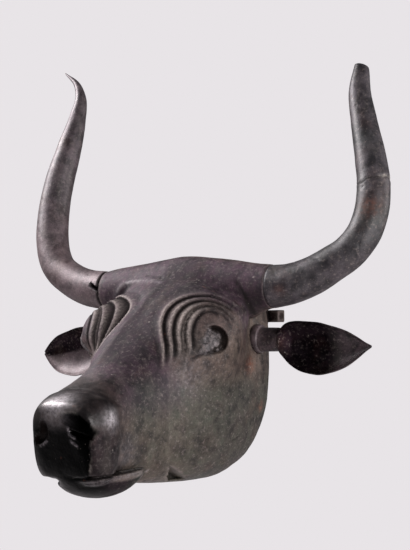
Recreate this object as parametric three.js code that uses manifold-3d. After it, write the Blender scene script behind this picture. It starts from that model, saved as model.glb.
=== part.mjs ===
// Hollow-cast bronze bull head, made to be fixed to a wall by the flat back of its neck.
// Five castings: the head with its neck, two horns and two ears.
// Sizes are in mm. The face looks along -Y, +Z is up and +X is the left side of the bull.
// The wall is the plane Y = 0 and the middle of the flat back is the origin.
import * as THREE from 'three';
import Module from 'manifold-3d';

const wasm = await Module();
wasm.setup();

// The horn line is the straight line that both horn roots lie on.
// All head, horn and ear places below are measured from its middle.
const HORN_LINE_Y = -80;
const HORN_LINE_Z = 60;
const NECK_BACK = 80;
const JOINT_GAP = 0.3;

// Cross sections of the head from the wall to the muzzle.
// y: place; top and bottom: heights; wide: half width; level: height of the greatest width;
// crown and jaw: how square the upper and the lower half are (2 is an ellipse).
const SECTIONS = [
  { y: 80, top: 18, bottom: -140, wide: 55, level: -55, crown: 2.8, jaw: 2.4 },
  { y: 66, top: 23, bottom: -156, wide: 65, level: -65, crown: 2.9, jaw: 2.5 },
  { y: 48, top: 25, bottom: -170, wide: 73, level: -75, crown: 2.7, jaw: 2.8 },
  { y: 25, top: 26, bottom: -181, wide: 76, level: -80, crown: 2.4, jaw: 3 },
  { y: 0, top: 21, bottom: -186, wide: 76, level: -82, crown: 2.3, jaw: 3 },
  { y: -30, top: 6, bottom: -185.5, wide: 74, level: -84, crown: 2.5, jaw: 2.8 },
  { y: -60, top: -23, bottom: -183, wide: 63, level: -90, crown: 2.6, jaw: 2.7 },
  { y: -90, top: -50, bottom: -179, wide: 46, level: -104, crown: 2.2, jaw: 2.8 },
  { y: -115, top: -69, bottom: -172, wide: 38, level: -118, crown: 2.1, jaw: 2.9 },
  { y: -140, top: -84, bottom: -169, wide: 37, level: -126, crown: 2.4, jaw: 3.1 },
  { y: -158, top: -91.5, bottom: -173, wide: 39.5, level: -126, crown: 2.6, jaw: 5 },
  { y: -195, top: -95, bottom: -176, wide: 39.5, level: -126, crown: 2.6, jaw: 5 },
];

// The muzzle closes in a rounded nose. Its front is flattened by a plane that leans back downwards.
const NOSE_START = -142;
const NOSE_LENGTH = 51;
const NOSE_ROUNDNESS = 2.4;
const NOSE_FACE = { y: -180, z: -130, lean: THREE.MathUtils.degToRad(15), edge: 8 };

// Brow: the skull swells out around the middle of each eye and carries the ring folds there.
// reach and fall: how far the swelling goes upwards and downwards; lift: height of its middle.
// The two sides are not quite alike.
const BROW_TURN = THREE.MathUtils.degToRad(60);
const BROW_MERGE = 14;
const BROW_FADE = [-40, -15];
const LEFT_BROW = {
  side: 1, at: new THREE.Vector3(46, -37.5, -52.5), swell: 14, reach: 56, fall: 56, lift: 9,
};
const RIGHT_BROW = {
  side: -1, at: new THREE.Vector3(-41, -37.5, -52.5), swell: 18, reach: 40, fall: 32, lift: 12,
};
// Ring folds: half width and half height of each oval ridge, and the depth of the flutes between them.
// The front ends of the ridges spread apart below the middle of the eye.
const FOLDS = [[44, 44.4], [38, 40], [32, 35], [25, 30.5]];
const FOLD_DEPTHS = [4.2, 3.8, 2.8];
const FOLD_SPREAD = 0.9;
const FOLD_FROM = THREE.MathUtils.degToRad(22);
const FOLD_TO = THREE.MathUtils.degToRad(210);
const FOLD_STEPS = 17;

// Temple: the skull also swells out between the brow and the horn.
const TEMPLE = { at: new THREE.Vector3(82, -6, -17), swell: 11, reach: 34 };

// Eye socket, a drop shape with its point at the inner corner, in the plane of the brow.
const EYE_ROUND = { across: -0.5, up: 2, radius: 12.5 };
const EYE_CORNER = { across: -22, up: -14.7 };
const EYE_DEPTH = 5;
const EYE_POINTS = 14;

// Muzzle details.
const NOSTRILS = [
  { at: [24, -179, -127.5], half: [14, 8, 3.8], tilt: -0.22 },
  { at: [-18, -178, -129.5], half: [3.6, 8, 10.5], tilt: -0.42 },
];
const LIP = { level: -165, front: -168, tilt: 0.09 };
const MOUTH = { from: -104, to: -174, inner: 22, low: -1.2, high: 0.8 };
const CHIN = { at: [-1, -126.5, -160], half: [38, 44, 27] };
const NOSE_CREASE = [
  [36, -134, -109], [33.5, -147, -103], [28.5, -153, -99], [19, -157, -96], [0, -157.5, -94],
];
const CREASE_RADIUS = 1.7;
const JAW_NOTCH = {
  inner: 24, depth: 30, corners: [[-78, -162.5], [-43, -179.2], [-59, -179.2], [-69.5, -174]],
};

// Bar across the poll that carries both horns: rows of [x, radius, height of the centre].
// flare: how far its under side hangs down where it meets the skull.
const BAR_ROWS = [
  [-92.5, 20.9, 0.2], [-60, 23.2, 2.2], [-22, 25, 4.1], [4, 26, 5.6], [35, 25, 4.4], [63, 23.4, 2.4],
  [84, 21.5, 0.6], [102.5, 20.8, -0.8],
];
const BAR = { y: 5, flare: 10, flareLength: 26, sides: 24, steps: 13 };

// Fixing lug on the back rim of the neck, one at each side.
const LUG = { inner: 42, outer: 76, front: 66, low: -33, high: -21 };

// Horns: points of the centre line [x, y, z, radius] from the root outwards.
// The right horn is whole. The left horn has lost its tip.
const RIGHT_HORN = [
  [92.5, 5, 0.5, 20.6], [117, 5.6, 3.7, 19.7], [135, 7, 9, 19], [152, 8.8, 17, 18.3], [167, 11.2, 27, 18],
  [178, 14.6, 41, 18.2], [185.5, 19, 60, 18.2], [191.5, 27, 92, 17.6], [191.5, 35.5, 128, 16.6],
  [186, 45, 167, 14.4], [181, 54, 206, 10], [181, 60, 231, 6.9], [190, 65, 250, 4.1], [213, 69.6, 270, 0.7],
];
const LEFT_HORN = [
  [102.5, 4.6, -1.1, 20.6], [120, 4.9, 1, 19.2], [140, 6.3, 6.9, 18], [160, 9, 17.7, 16.7],
  [177, 11.7, 29, 16.1], [188.5, 15, 43.4, 15.8], [195, 20, 64, 15.7], [195.5, 26, 88, 15.4],
  [190.5, 32.5, 116, 14.5], [180.5, 42, 155, 12.4], [173.5, 49.8, 188, 10.3], [173.4, 56, 213, 7.2],
];
const HORN_SIDES = 16;
const HORN_STEPS = 22;
const BREAK_SLANT = 3.2;
const OPEN_JOINT = 2.2;
const ROOT_SLOT = { x: 96, y: -12, z: 2.3, long: 20, deep: 11, high: 4.6, turn: 0.5 };

// Ears: collar and stem are round, the leaf is a hollow scoop opening forwards.
const EAR = {
  root: [72, 26, -50], tipX: 194, tipY: 19, sag: 5,
  collarRadius: 14, collarLength: 7, stemRadius: 11.7, stemEnd: 103, leafFrom: 101.5, sides: 18,
};
// Half heights of the leaf at each of its rows, from the base to the tip.
const LEFT_EAR = { tipZ: -57, halves: [8, 12, 17.5, 23.8, 24.5, 21.8, 17, 10, 4.2, 1.2] };
const RIGHT_EAR = { tipZ: -66, halves: [8, 13, 19, 25, 26.3, 24, 20, 13, 6.4, 1.6] };
// Leaf rows: [share of the length, depth of the scoop, depth of its back, flare of the back].
const LEAF = [
  [0, 1, 14, 4.5], [0.05, 6, 17, 4.5], [0.13, 12.5, 17, 3], [0.3, 14.5, 18, 0], [0.45, 13.5, 16.8, 0],
  [0.6, 12, 15, 0], [0.75, 9.5, 12, 0], [0.87, 6, 8, 0], [0.95, 3, 4.5, 0], [1, 1, 2, 0],
];
const LEAF_RIM = 0.62;
const LEAF_EDGE = 0.5;
const LEAF_BOWL = 1.3;
const LEAF_ACROSS = 8;

// Cubic curve through points with values at rising places; limited keeps it from overshooting.
function curveThrough(places, values, limited) {
  const last = places.length - 1;
  const slopes = [];
  for (let i = 0; i < last; i++) {
    slopes.push((values[i + 1] - values[i]) / (places[i + 1] - places[i]));
  }
  const tangents = places.map((place, i) => {
    if (i === 0) return slopes[0];
    if (i === last) return slopes[last - 1];
    const before = places[i] - places[i - 1];
    const after = places[i + 1] - places[i];
    if (!limited) return (slopes[i - 1] * after + slopes[i] * before) / (before + after);
    if (slopes[i - 1] * slopes[i] <= 0) return 0;
    const heavy = 2 * after + before;
    const light = after + 2 * before;
    return (heavy + light) / (heavy / slopes[i - 1] + light / slopes[i]);
  });
  return (at) => {
    const place = Math.min(Math.max(at, places[0]), places[last]);
    let i = 0;
    while (i < last - 1 && place > places[i + 1]) i++;
    const span = places[i + 1] - places[i];
    const t = (place - places[i]) / span;
    const s = 1 - t;
    return values[i] * s * s * (1 + 2 * t) + values[i + 1] * t * t * (3 - 2 * t)
      + span * tangents[i] * t * s * s - span * tangents[i + 1] * t * t * s;
  };
}

const risingSections = [...SECTIONS].reverse();
const sectionPlaces = risingSections.map((section) => section.y);
const sectionCurve = {};
for (const key of ['top', 'bottom', 'wide', 'level', 'crown', 'jaw']) {
  sectionCurve[key] = curveThrough(sectionPlaces, risingSections.map((section) => section[key]), true);
}

function blend(a, b, width) {
  const share = Math.min(Math.max(0.5 + 0.5 * (b - a) / width, 0), 1);
  return b + (a - b) * share - width * share * (1 - share);
}

// How far a point lies behind the plane of the nose.
function faceDistance(y, z) {
  return (y - NOSE_FACE.y) * Math.cos(NOSE_FACE.lean) + (z - NOSE_FACE.z) * Math.sin(NOSE_FACE.lean);
}

// Signed size of the plain head without brows: negative inside, zero on the surface.
function skull(x, y, z) {
  const level = sectionCurve.level(y);
  const upper = z >= level;
  const height = upper ? sectionCurve.top(y) - level : level - sectionCurve.bottom(y);
  const power = upper ? sectionCurve.crown(y) : sectionCurve.jaw(y);
  const wide = sectionCurve.wide(y);
  const around = ((Math.abs(x) / wide) ** power + (Math.abs(z - level) / height) ** power) ** (1 / power);
  const ahead = Math.max(NOSE_START - y, 0) / NOSE_LENGTH;
  const reach = (around ** NOSE_ROUNDNESS + ahead ** NOSE_ROUNDNESS) ** (1 / NOSE_ROUNDNESS);
  const round = (reach - 1) * Math.min(wide, height) * 0.9;
  return -blend(-round, faceDistance(y, z), NOSE_FACE.edge);
}

for (const brow of [LEFT_BROW, RIGHT_BROW]) {
  brow.out = new THREE.Vector3(brow.side * Math.sin(BROW_TURN), -Math.cos(BROW_TURN), 0);
  brow.back = new THREE.Vector3(brow.side * Math.cos(BROW_TURN), Math.sin(BROW_TURN), 0);
}

function foldStrength(angle) {
  const turn = angle < -1.2 ? angle + 2 * Math.PI : angle;
  const rear = THREE.MathUtils.smoothstep(turn, FOLD_FROM, FOLD_FROM + 0.9);
  const front = 1 - THREE.MathUtils.smoothstep(turn, FOLD_TO - 0.4, FOLD_TO);
  return rear * front;
}

function browSwelling(brow, x, y, z) {
  const place = new THREE.Vector3(brow.side * Math.abs(x), y, z).sub(brow.at);
  const up = place.z - brow.lift;
  const away = Math.hypot(place.dot(brow.back) / brow.reach, up / (up < 0 ? brow.fall : brow.reach));
  const nearSide = THREE.MathUtils.smoothstep(place.dot(brow.out), ...BROW_FADE);
  return brow.swell * (1 - Math.min(away, 1) ** 3) ** 2 * nearSide;
}

// Signed size of the head with its swollen brows and temples.
function headSize(x, y, z) {
  const leftShare = THREE.MathUtils.smoothstep(x, -BROW_MERGE, BROW_MERGE);
  const left = leftShare * browSwelling(LEFT_BROW, x, y, z);
  const right = (1 - leftShare) * browSwelling(RIGHT_BROW, x, y, z);
  const fromTemple = new THREE.Vector3(Math.abs(x), y, z).distanceTo(TEMPLE.at) / TEMPLE.reach;
  const temple = TEMPLE.swell * (1 - Math.min(fromTemple, 1) ** 2) ** 2;
  return skull(x, y, z) - left - right - temple;
}

// Distance from the start along the direction to where the size turns positive.
function surfaceAlong(size, start, direction, near, far) {
  let inside = near;
  let outside = far;
  for (let i = 0; i < 40; i++) {
    const middle = (inside + outside) / 2;
    const point = direction.clone().multiplyScalar(middle).add(start);
    if (size(point.x, point.y, point.z) < 0) inside = middle;
    else outside = middle;
  }
  return (inside + outside) / 2;
}

function middleOf(ring) {
  return ring.reduce((sum, point) => sum.add(point), new THREE.Vector3()).divideScalar(ring.length);
}

// Closed skin over rings of equal length, with a middle point at each end.
function skin(rings, firstMiddle, lastMiddle) {
  const count = rings[0].length;
  const points = [firstMiddle, ...rings.flat(), lastMiddle];
  const faces = [];
  const at = (ring, side) => 1 + ring * count + (side % count);
  for (let side = 0; side < count; side++) {
    faces.push(0, at(0, side + 1), at(0, side));
    faces.push(points.length - 1, at(rings.length - 1, side), at(rings.length - 1, side + 1));
  }
  for (let ring = 0; ring < rings.length - 1; ring++) {
    for (let side = 0; side < count; side++) {
      const a = at(ring, side);
      const b = at(ring, side + 1);
      const c = at(ring + 1, side);
      const d = at(ring + 1, side + 1);
      faces.push(a, b, d, a, d, c);
    }
  }
  return toSolid(points, faces);
}

function toSolid(points, faces) {
  const vertProperties = new Float32Array(points.flatMap((point) => [point.x, point.y, point.z]));
  let volume = 0;
  for (let i = 0; i < faces.length; i += 3) {
    const [a, b, c] = [points[faces[i]], points[faces[i + 1]], points[faces[i + 2]]];
    volume += a.dot(b.clone().cross(c));
  }
  const triVerts = new Uint32Array(faces);
  if (volume < 0) {
    for (let i = 0; i < triVerts.length; i += 3) {
      [triVerts[i + 1], triVerts[i + 2]] = [triVerts[i + 2], triVerts[i + 1]];
    }
  }
  return new wasm.Manifold(new wasm.Mesh({ numProp: 3, vertProperties, triVerts }));
}

// Turns a three.js geometry into a solid, welding its doubled corners.
function fromGeometry(geometry) {
  const position = geometry.getAttribute('position');
  const index = geometry.index ? Array.from(geometry.index.array) : [...Array(position.count).keys()];
  const points = [];
  const known = new Map();
  const welded = [];
  for (let i = 0; i < position.count; i++) {
    const point = new THREE.Vector3().fromBufferAttribute(position, i);
    const key = point.toArray().map((value) => Math.round(value * 1e4)).join();
    if (!known.has(key)) {
      known.set(key, points.length);
      points.push(point);
    }
    welded.push(known.get(key));
  }
  const faces = [];
  for (let i = 0; i < index.length; i += 3) {
    const corners = [welded[index[i]], welded[index[i + 1]], welded[index[i + 2]]];
    if (new Set(corners).size === 3) faces.push(...corners);
  }
  return toSolid(points, faces);
}

function box(from, to) {
  const geometry = new THREE.BoxGeometry(to[0] - from[0], to[1] - from[1], to[2] - from[2]);
  geometry.translate((from[0] + to[0]) / 2, (from[1] + to[1]) / 2, (from[2] + to[2]) / 2);
  return fromGeometry(geometry);
}

function roundBar(radius, fromX, toX, y, z, sides) {
  const geometry = new THREE.CylinderGeometry(radius, radius, Math.abs(toX - fromX), sides);
  geometry.rotateZ(Math.PI / 2);
  geometry.translate((fromX + toX) / 2, y, z);
  return fromGeometry(geometry);
}

// Head without the bar: rings of surface points found from the middle of each section.
// The last rings lean with the plane of the nose.
const RING_PLACES = [
  80, 71, 61, 49, 36, 24, 12, 2, -7, -16, -25, -34, -42, -50, -58, -66, -74, -82, -90,
  -99, -109, -119, -129, -138, -146, -154, -161, -167, -172, -176, -178.6, -179.7,
];
const RING_SIDES = 46;
const RING_LEAN = { from: 115, to: 170 };

function headShell() {
  const rings = RING_PLACES.map((y) => {
    const middle = new THREE.Vector3(0, y, sectionCurve.level(y));
    const lean = Math.tan(NOSE_FACE.lean) * THREE.MathUtils.smoothstep(-y, RING_LEAN.from, RING_LEAN.to);
    const ring = [];
    for (let side = 0; side < RING_SIDES; side++) {
      const angle = 2 * Math.PI * side / RING_SIDES;
      const direction = new THREE.Vector3(Math.sin(angle), -lean * Math.cos(angle), Math.cos(angle));
      direction.normalize();
      const reach = surfaceAlong(headSize, middle, direction, 0, 150);
      ring.push(direction.multiplyScalar(reach).add(middle));
    }
    return ring;
  });
  const back = new THREE.Vector3(0, NECK_BACK, sectionCurve.level(NECK_BACK));
  const front = new THREE.Vector3(0, NOSE_START, sectionCurve.level(NOSE_START));
  front.y -= surfaceAlong(headSize, front, new THREE.Vector3(0, -1, 0), 0, 2 * NOSE_LENGTH);
  return skin(rings, back, front);
}

function hornBar() {
  const places = BAR_ROWS.map((row) => row[0]);
  const radiusAt = curveThrough(places, BAR_ROWS.map((row) => row[1]), false);
  const heightAt = curveThrough(places, BAR_ROWS.map((row) => row[2]), false);
  const right = places[0] + JOINT_GAP / 2;
  const left = places[places.length - 1] - JOINT_GAP / 2;
  const rings = [];
  for (let step = 0; step <= BAR.steps; step++) {
    const x = right + (left - right) * step / BAR.steps;
    const fromEnd = Math.min(x - right, left - x);
    const flare = BAR.flare * THREE.MathUtils.smoothstep(fromEnd, 0, BAR.flareLength);
    const ring = [];
    for (let side = 0; side < BAR.sides; side++) {
      const angle = 2 * Math.PI * side / BAR.sides;
      const drop = flare * Math.max(-Math.sin(angle), 0) ** 2;
      const z = heightAt(x) + radiusAt(x) * Math.sin(angle) - drop;
      ring.push(new THREE.Vector3(x, BAR.y + radiusAt(x) * Math.cos(angle), z));
    }
    rings.push(ring);
  }
  return skin(rings, middleOf(rings[0]), middleOf(rings[rings.length - 1]));
}

function browPoint(brow, across, up, rise) {
  const point = brow.at.clone().addScaledVector(brow.back, across).addScaledVector(brow.out, rise);
  point.z += up;
  return point;
}

function browSurface(brow, across, up) {
  return surfaceAlong(headSize, browPoint(brow, across, up, 0), brow.out, -25, 60);
}

// One flute between two ridges: deepest past its middle, running out at both ends.
function foldFlute(brow, outer, inner, depth) {
  const rings = [];
  for (let step = 0; step <= FOLD_STEPS; step++) {
    const angle = FOLD_FROM + (FOLD_TO - FOLD_FROM) * step / FOLD_STEPS;
    const strength = foldStrength(angle);
    const floor = depth * (1.3 * strength - 0.3);
    const rim = 0.2 + 1.5 * (1 - strength);
    // Rows of [share of the way inwards, lift over the surface].
    const profile = [[-0.06, 7], [0, rim], [0.28, -0.75 * floor], [0.6, -floor], [1, rim], [1.06, 7]];
    rings.push(profile.map(([share, lift]) => {
      const place = (part) => {
        const wide = outer[0] + (inner[0] - outer[0]) * part;
        const high = outer[1] + (inner[1] - outer[1]) * part;
        const spread = 1 + FOLD_SPREAD * Math.min(Math.sin(angle), 0) ** 2;
        return [wide * spread * Math.cos(angle), high * Math.sin(angle)];
      };
      const surface = browSurface(brow, ...place(Math.min(Math.max(share, 0), 1)));
      return browPoint(brow, ...place(share), surface + lift);
    }));
  }
  return skin(rings, middleOf(rings[0]), middleOf(rings[rings.length - 1]));
}

// Drop-shaped hollow with a rough bowl for a floor, deepest at the rear.
function eyeSocket(brow) {
  const { across, up, radius } = EYE_ROUND;
  const away = Math.hypot(EYE_CORNER.across - across, EYE_CORNER.up - up);
  const heading = Math.atan2(EYE_CORNER.up - up, EYE_CORNER.across - across);
  const touch = Math.acos(radius / away);
  const outline = [[EYE_CORNER.across, EYE_CORNER.up, 1]];
  for (let i = 0; i <= EYE_POINTS; i++) {
    const angle = heading + touch + (2 * Math.PI - 2 * touch) * i / EYE_POINTS;
    const depth = EYE_DEPTH * (0.6 + 0.4 * Math.cos(angle));
    outline.push([across + radius * Math.cos(angle), up + radius * Math.sin(angle), depth]);
  }
  const floor = outline.map(([a, u, depth]) => browPoint(brow, a, u, browSurface(brow, a, u) - depth));
  const lid = outline.map(([a, u]) => browPoint(brow, a, u, browSurface(brow, a, u) + 8));
  const rise = browSurface(brow, across, up);
  const floorMiddle = browPoint(brow, across, up, rise - EYE_DEPTH);
  return skin([floor, lid], floorMiddle, browPoint(brow, across, up, rise + 8));
}

function nostril({ at, half, tilt }) {
  const geometry = new THREE.SphereGeometry(1, 14, 8);
  geometry.scale(...half);
  geometry.rotateY(-tilt);
  geometry.translate(...at);
  return fromGeometry(geometry);
}

function chin() {
  const geometry = new THREE.SphereGeometry(1, 22, 14);
  geometry.scale(...CHIN.half);
  geometry.translate(...CHIN.at);
  return fromGeometry(geometry);
}

function noseCrease() {
  const half = NOSE_CREASE.map(([x, y, z]) => new THREE.Vector3(x, y, z));
  const other = half.slice(0, -1).reverse().map((point) => new THREE.Vector3(-point.x, point.y, point.z));
  const path = new THREE.CatmullRomCurve3([...half, ...other]);
  const rings = [];
  const steps = 16;
  for (let step = 0; step <= steps; step++) {
    const point = path.getPoint(step / steps);
    const along = path.getTangent(step / steps);
    const level = sectionCurve.level(point.y);
    const middle = new THREE.Vector3(0, point.y, level);
    const outward = point.clone().sub(middle).normalize();
    const reach = surfaceAlong(headSize, middle, outward, 0, 150);
    const centre = outward.clone().multiplyScalar(reach).add(middle);
    const aside = along.clone().cross(outward).normalize();
    const radius = CREASE_RADIUS * Math.sin(Math.PI * (0.08 + 0.84 * step / steps));
    const ring = [];
    for (let side = 0; side < 4; side++) {
      const angle = Math.PI * side / 2;
      ring.push(centre.clone().addScaledVector(outward, radius * Math.cos(angle) + 0.4)
        .addScaledVector(aside, radius * Math.sin(angle)));
    }
    rings.push(ring);
  }
  return skin(rings, middleOf(rings[0]), middleOf(rings[rings.length - 1]));
}

// Hollow where the cheek ends above the under side of the jaw.
function jawNotch() {
  const outline = new THREE.Shape(JAW_NOTCH.corners.map(([y, z]) => new THREE.Vector2(y, z)));
  const geometry = new THREE.ExtrudeGeometry(outline, { depth: JAW_NOTCH.depth, bevelEnabled: false });
  geometry.applyMatrix4(new THREE.Matrix4().makeBasis(
    new THREE.Vector3(0, 1, 0), new THREE.Vector3(0, 0, 1), new THREE.Vector3(1, 0, 0)));
  geometry.translate(JAW_NOTCH.inner, 0, 0);
  return fromGeometry(geometry);
}

function mirrored(solid) {
  const mesh = solid.getMesh();
  const points = [];
  for (let i = 0; i < mesh.vertProperties.length; i += 3) {
    const [x, y, z] = mesh.vertProperties.slice(i, i + 3);
    points.push(new THREE.Vector3(-x, y, z));
  }
  return toSolid(points, Array.from(mesh.triVerts));
}

function bothSides(solid) {
  return solid.add(mirrored(solid));
}

function earSeat() {
  const [seat, y, z] = EAR.root;
  return roundBar(EAR.collarRadius + 2 * JOINT_GAP, seat, seat + 30, y, z, 24);
}

// Box turned about the middle of the lip edge so that it follows the slant of the mouth.
function lipBox(from, to) {
  return box(from, to).rotate([0, -THREE.MathUtils.radToDeg(LIP.tilt), 0]).translate([0, 0, LIP.level]);
}

function head() {
  let solid = headShell();
  solid = solid.subtract(lipBox([-60, NOSE_FACE.y - 20, -40], [60, LIP.front, 0]));
  solid = solid.add(chin().subtract(lipBox([-60, NOSE_FACE.y, MOUTH.high / 2], [60, 0, 40])));
  const { from, to, inner, low, high } = MOUTH;
  solid = solid.subtract(lipBox([-60, to, low], [-inner, from, high]));
  solid = solid.subtract(lipBox([inner, to, low], [60, from, high]));
  solid = solid.add(hornBar());
  solid = solid.add(bothSides(box([LUG.inner, LUG.front, LUG.low], [LUG.outer, NECK_BACK, LUG.high])));
  for (const brow of [LEFT_BROW, RIGHT_BROW]) {
    for (let i = 0; i < FOLD_DEPTHS.length; i++) {
      solid = solid.subtract(foldFlute(brow, FOLDS[i], FOLDS[i + 1], FOLD_DEPTHS[i]));
    }
    solid = solid.subtract(eyeSocket(brow));
  }
  for (const hollow of [...NOSTRILS.map(nostril), bothSides(jawNotch()), bothSides(earSeat())]) {
    solid = solid.subtract(hollow);
  }
  return solid.subtract(noseCrease());
}

function horn(points, tipSlant, rootOpening) {
  const places = [0];
  for (let i = 1; i < points.length; i++) {
    const steps = [0, 1, 2].map((axis) => points[i][axis] - points[i - 1][axis]);
    places.push(places[i - 1] + Math.hypot(...steps));
  }
  const curves = [0, 1, 2, 3].map((axis) => {
    return curveThrough(places, points.map((point) => point[axis]), axis === 3);
  });
  const length = places[places.length - 1];
  const centreAt = (at) => new THREE.Vector3(curves[0](at), curves[1](at), curves[2](at));
  const rings = [];
  for (let step = 0; step <= HORN_STEPS; step++) {
    const at = length * step / HORN_STEPS;
    const centre = centreAt(at);
    const along = centreAt(at + 0.5).sub(centreAt(at - 0.5)).normalize();
    if (step === 0) along.set(1, 0, 0);
    const back = new THREE.Vector3(0, 1, 0).addScaledVector(along, -along.y).normalize();
    const aside = along.clone().cross(back);
    const radius = curves[3](at);
    const ring = [];
    for (let side = 0; side < HORN_SIDES; side++) {
      const angle = 2 * Math.PI * side / HORN_SIDES;
      const point = centre.clone().addScaledVector(back, radius * Math.cos(angle))
        .addScaledVector(aside, radius * Math.sin(angle));
      if (step === HORN_STEPS) point.addScaledVector(along, -tipSlant * (1 + Math.sin(angle + 0.6)));
      if (step === 0) point.x += JOINT_GAP / 2 + rootOpening * (1 + (point.z - centre.z) / radius) / 2;
      ring.push(point);
    }
    rings.push(ring);
  }
  return skin(rings, middleOf(rings[0]), middleOf(rings[rings.length - 1]));
}

// Slot cut slanting into the root of the right horn.
function rootSlot() {
  const geometry = new THREE.BoxGeometry(ROOT_SLOT.long, ROOT_SLOT.deep, ROOT_SLOT.high);
  geometry.rotateY(-ROOT_SLOT.turn);
  geometry.translate(ROOT_SLOT.x, ROOT_SLOT.y, ROOT_SLOT.z);
  return fromGeometry(geometry);
}

// Scoop-shaped leaf: a hollow front and a round back, meeting in a thin rim.
function leaf({ tipZ, halves }) {
  const [rootX, rootY, rootZ] = EAR.root;
  const { tipX, tipY } = EAR;
  const rings = LEAF.map(([share, scoop, depth, flare], row) => {
    const x = EAR.leafFrom + (tipX - EAR.leafFrom) * share;
    const along = (x - rootX) / (tipX - rootX);
    const rim = rootY + (tipY - rootY) * along - LEAF_RIM * depth;
    const middle = rootZ + (tipZ - rootZ) * along - EAR.sag * Math.sin(Math.PI * share);
    const front = [];
    const back = [];
    for (let step = 0; step <= LEAF_ACROSS; step++) {
      const angle = Math.PI * step / LEAF_ACROSS;
      const bow = Math.sin(angle);
      const hollow = scoop * bow ** LEAF_BOWL - LEAF_EDGE;
      const behind = LEAF_EDGE + 1.5 * flare * (1 - bow) + depth * bow;
      const up = halves[row] * Math.cos(angle);
      front.push(new THREE.Vector3(x, rim + hollow, middle + 0.97 * up));
      back.unshift(new THREE.Vector3(x, rim + behind, middle + up + flare * Math.cos(angle)));
    }
    return [...front, ...back];
  });
  return skin(rings, middleOf(rings[0]), middleOf(rings[rings.length - 1]));
}

function ear(side) {
  const [seat, y, z] = EAR.root;
  const start = seat + JOINT_GAP;
  const collar = roundBar(EAR.collarRadius, start, start + EAR.collarLength, y, z, EAR.sides);
  const stemStart = start + EAR.collarLength / 2;
  const stem = new THREE.CylinderGeometry(EAR.stemRadius, EAR.stemRadius, EAR.stemEnd - stemStart, EAR.sides);
  stem.rotateZ(-Math.PI / 2);
  stem.translate((stemStart + EAR.stemEnd) / 2, y - 0.5, z - 0.8);
  return collar.add(fromGeometry(stem)).add(leaf(side));
}

// Puts a solid into the part as a named mesh, measured from the wall instead of the horn line.
function castPiece(name, solid, colour, roughness) {
  const mesh = solid.getMesh();
  const geometry = new THREE.BufferGeometry();
  geometry.setAttribute('position', new THREE.BufferAttribute(new Float32Array(mesh.vertProperties), 3));
  geometry.setIndex(new THREE.BufferAttribute(new Uint32Array(mesh.triVerts), 1));
  geometry.translate(0, HORN_LINE_Y, HORN_LINE_Z);
  geometry.computeVertexNormals();
  const material = new THREE.MeshStandardMaterial({ color: colour, roughness, metalness: 0.6 });
  material.flatShading = true;
  material.name = name;
  const piece = new THREE.Mesh(geometry, material);
  piece.name = name;
  return piece;
}

const rightHorn = mirrored(horn(RIGHT_HORN, 0, OPEN_JOINT).subtract(rootSlot()));

const part = new THREE.Group();
part.name = 'bull_head';
part.add(castPiece('head', head(), 0x4b4648, 0.45));
part.add(castPiece('horn_left', horn(LEFT_HORN, BREAK_SLANT, 0), 0x3a393f, 0.4));
part.add(castPiece('horn_right', rightHorn, 0x433c40, 0.4));
part.add(castPiece('ear_left', ear(LEFT_EAR), 0x37333a, 0.45));
part.add(castPiece('ear_right', mirrored(ear(RIGHT_EAR)), 0x37333a, 0.45));

export default part;
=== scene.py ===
# Bronze bull head for a wall: fine surfaces, patina, light and camera.
# Shapes are worked out in mm from the middle of the horn line, then placed in metres.
# The face looks along -Y, +Z is up and +X is the left side of the bull.
import math

import bmesh
import bpy
import numpy as np
from mathutils import Matrix, Vector


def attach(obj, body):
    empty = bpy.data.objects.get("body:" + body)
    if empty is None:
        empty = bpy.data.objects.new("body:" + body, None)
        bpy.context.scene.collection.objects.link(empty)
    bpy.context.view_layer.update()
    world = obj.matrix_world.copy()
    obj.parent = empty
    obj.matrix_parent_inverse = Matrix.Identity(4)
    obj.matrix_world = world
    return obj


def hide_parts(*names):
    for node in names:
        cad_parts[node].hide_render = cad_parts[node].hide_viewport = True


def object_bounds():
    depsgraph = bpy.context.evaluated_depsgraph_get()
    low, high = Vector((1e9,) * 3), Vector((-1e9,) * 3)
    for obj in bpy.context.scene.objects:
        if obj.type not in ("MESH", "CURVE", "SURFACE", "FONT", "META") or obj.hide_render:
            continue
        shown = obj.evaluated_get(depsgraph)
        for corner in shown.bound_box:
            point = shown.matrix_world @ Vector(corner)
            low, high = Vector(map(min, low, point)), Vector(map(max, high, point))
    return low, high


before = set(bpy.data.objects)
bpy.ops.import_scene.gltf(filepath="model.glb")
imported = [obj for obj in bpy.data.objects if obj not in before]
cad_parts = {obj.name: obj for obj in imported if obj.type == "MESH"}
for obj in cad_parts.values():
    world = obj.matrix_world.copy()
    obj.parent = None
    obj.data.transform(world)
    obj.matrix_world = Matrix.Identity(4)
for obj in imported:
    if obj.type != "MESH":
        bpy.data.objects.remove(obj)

CAD_LOW, CAD_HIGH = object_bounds()
HORN_LINE = np.array([0.0, -80.0, 60.0])
NECK_BACK = 80.0
# Size of the cells from which the head is meshed, and how near the surface its relief is worked out.
HEAD_CELL, RELIEF_BAND = 1.6, 9.5
GRID_LOW, GRID_HIGH = np.array([-97.6, -188.0, -193.0]), np.array([107.0, 86.0, 38.0])

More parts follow.
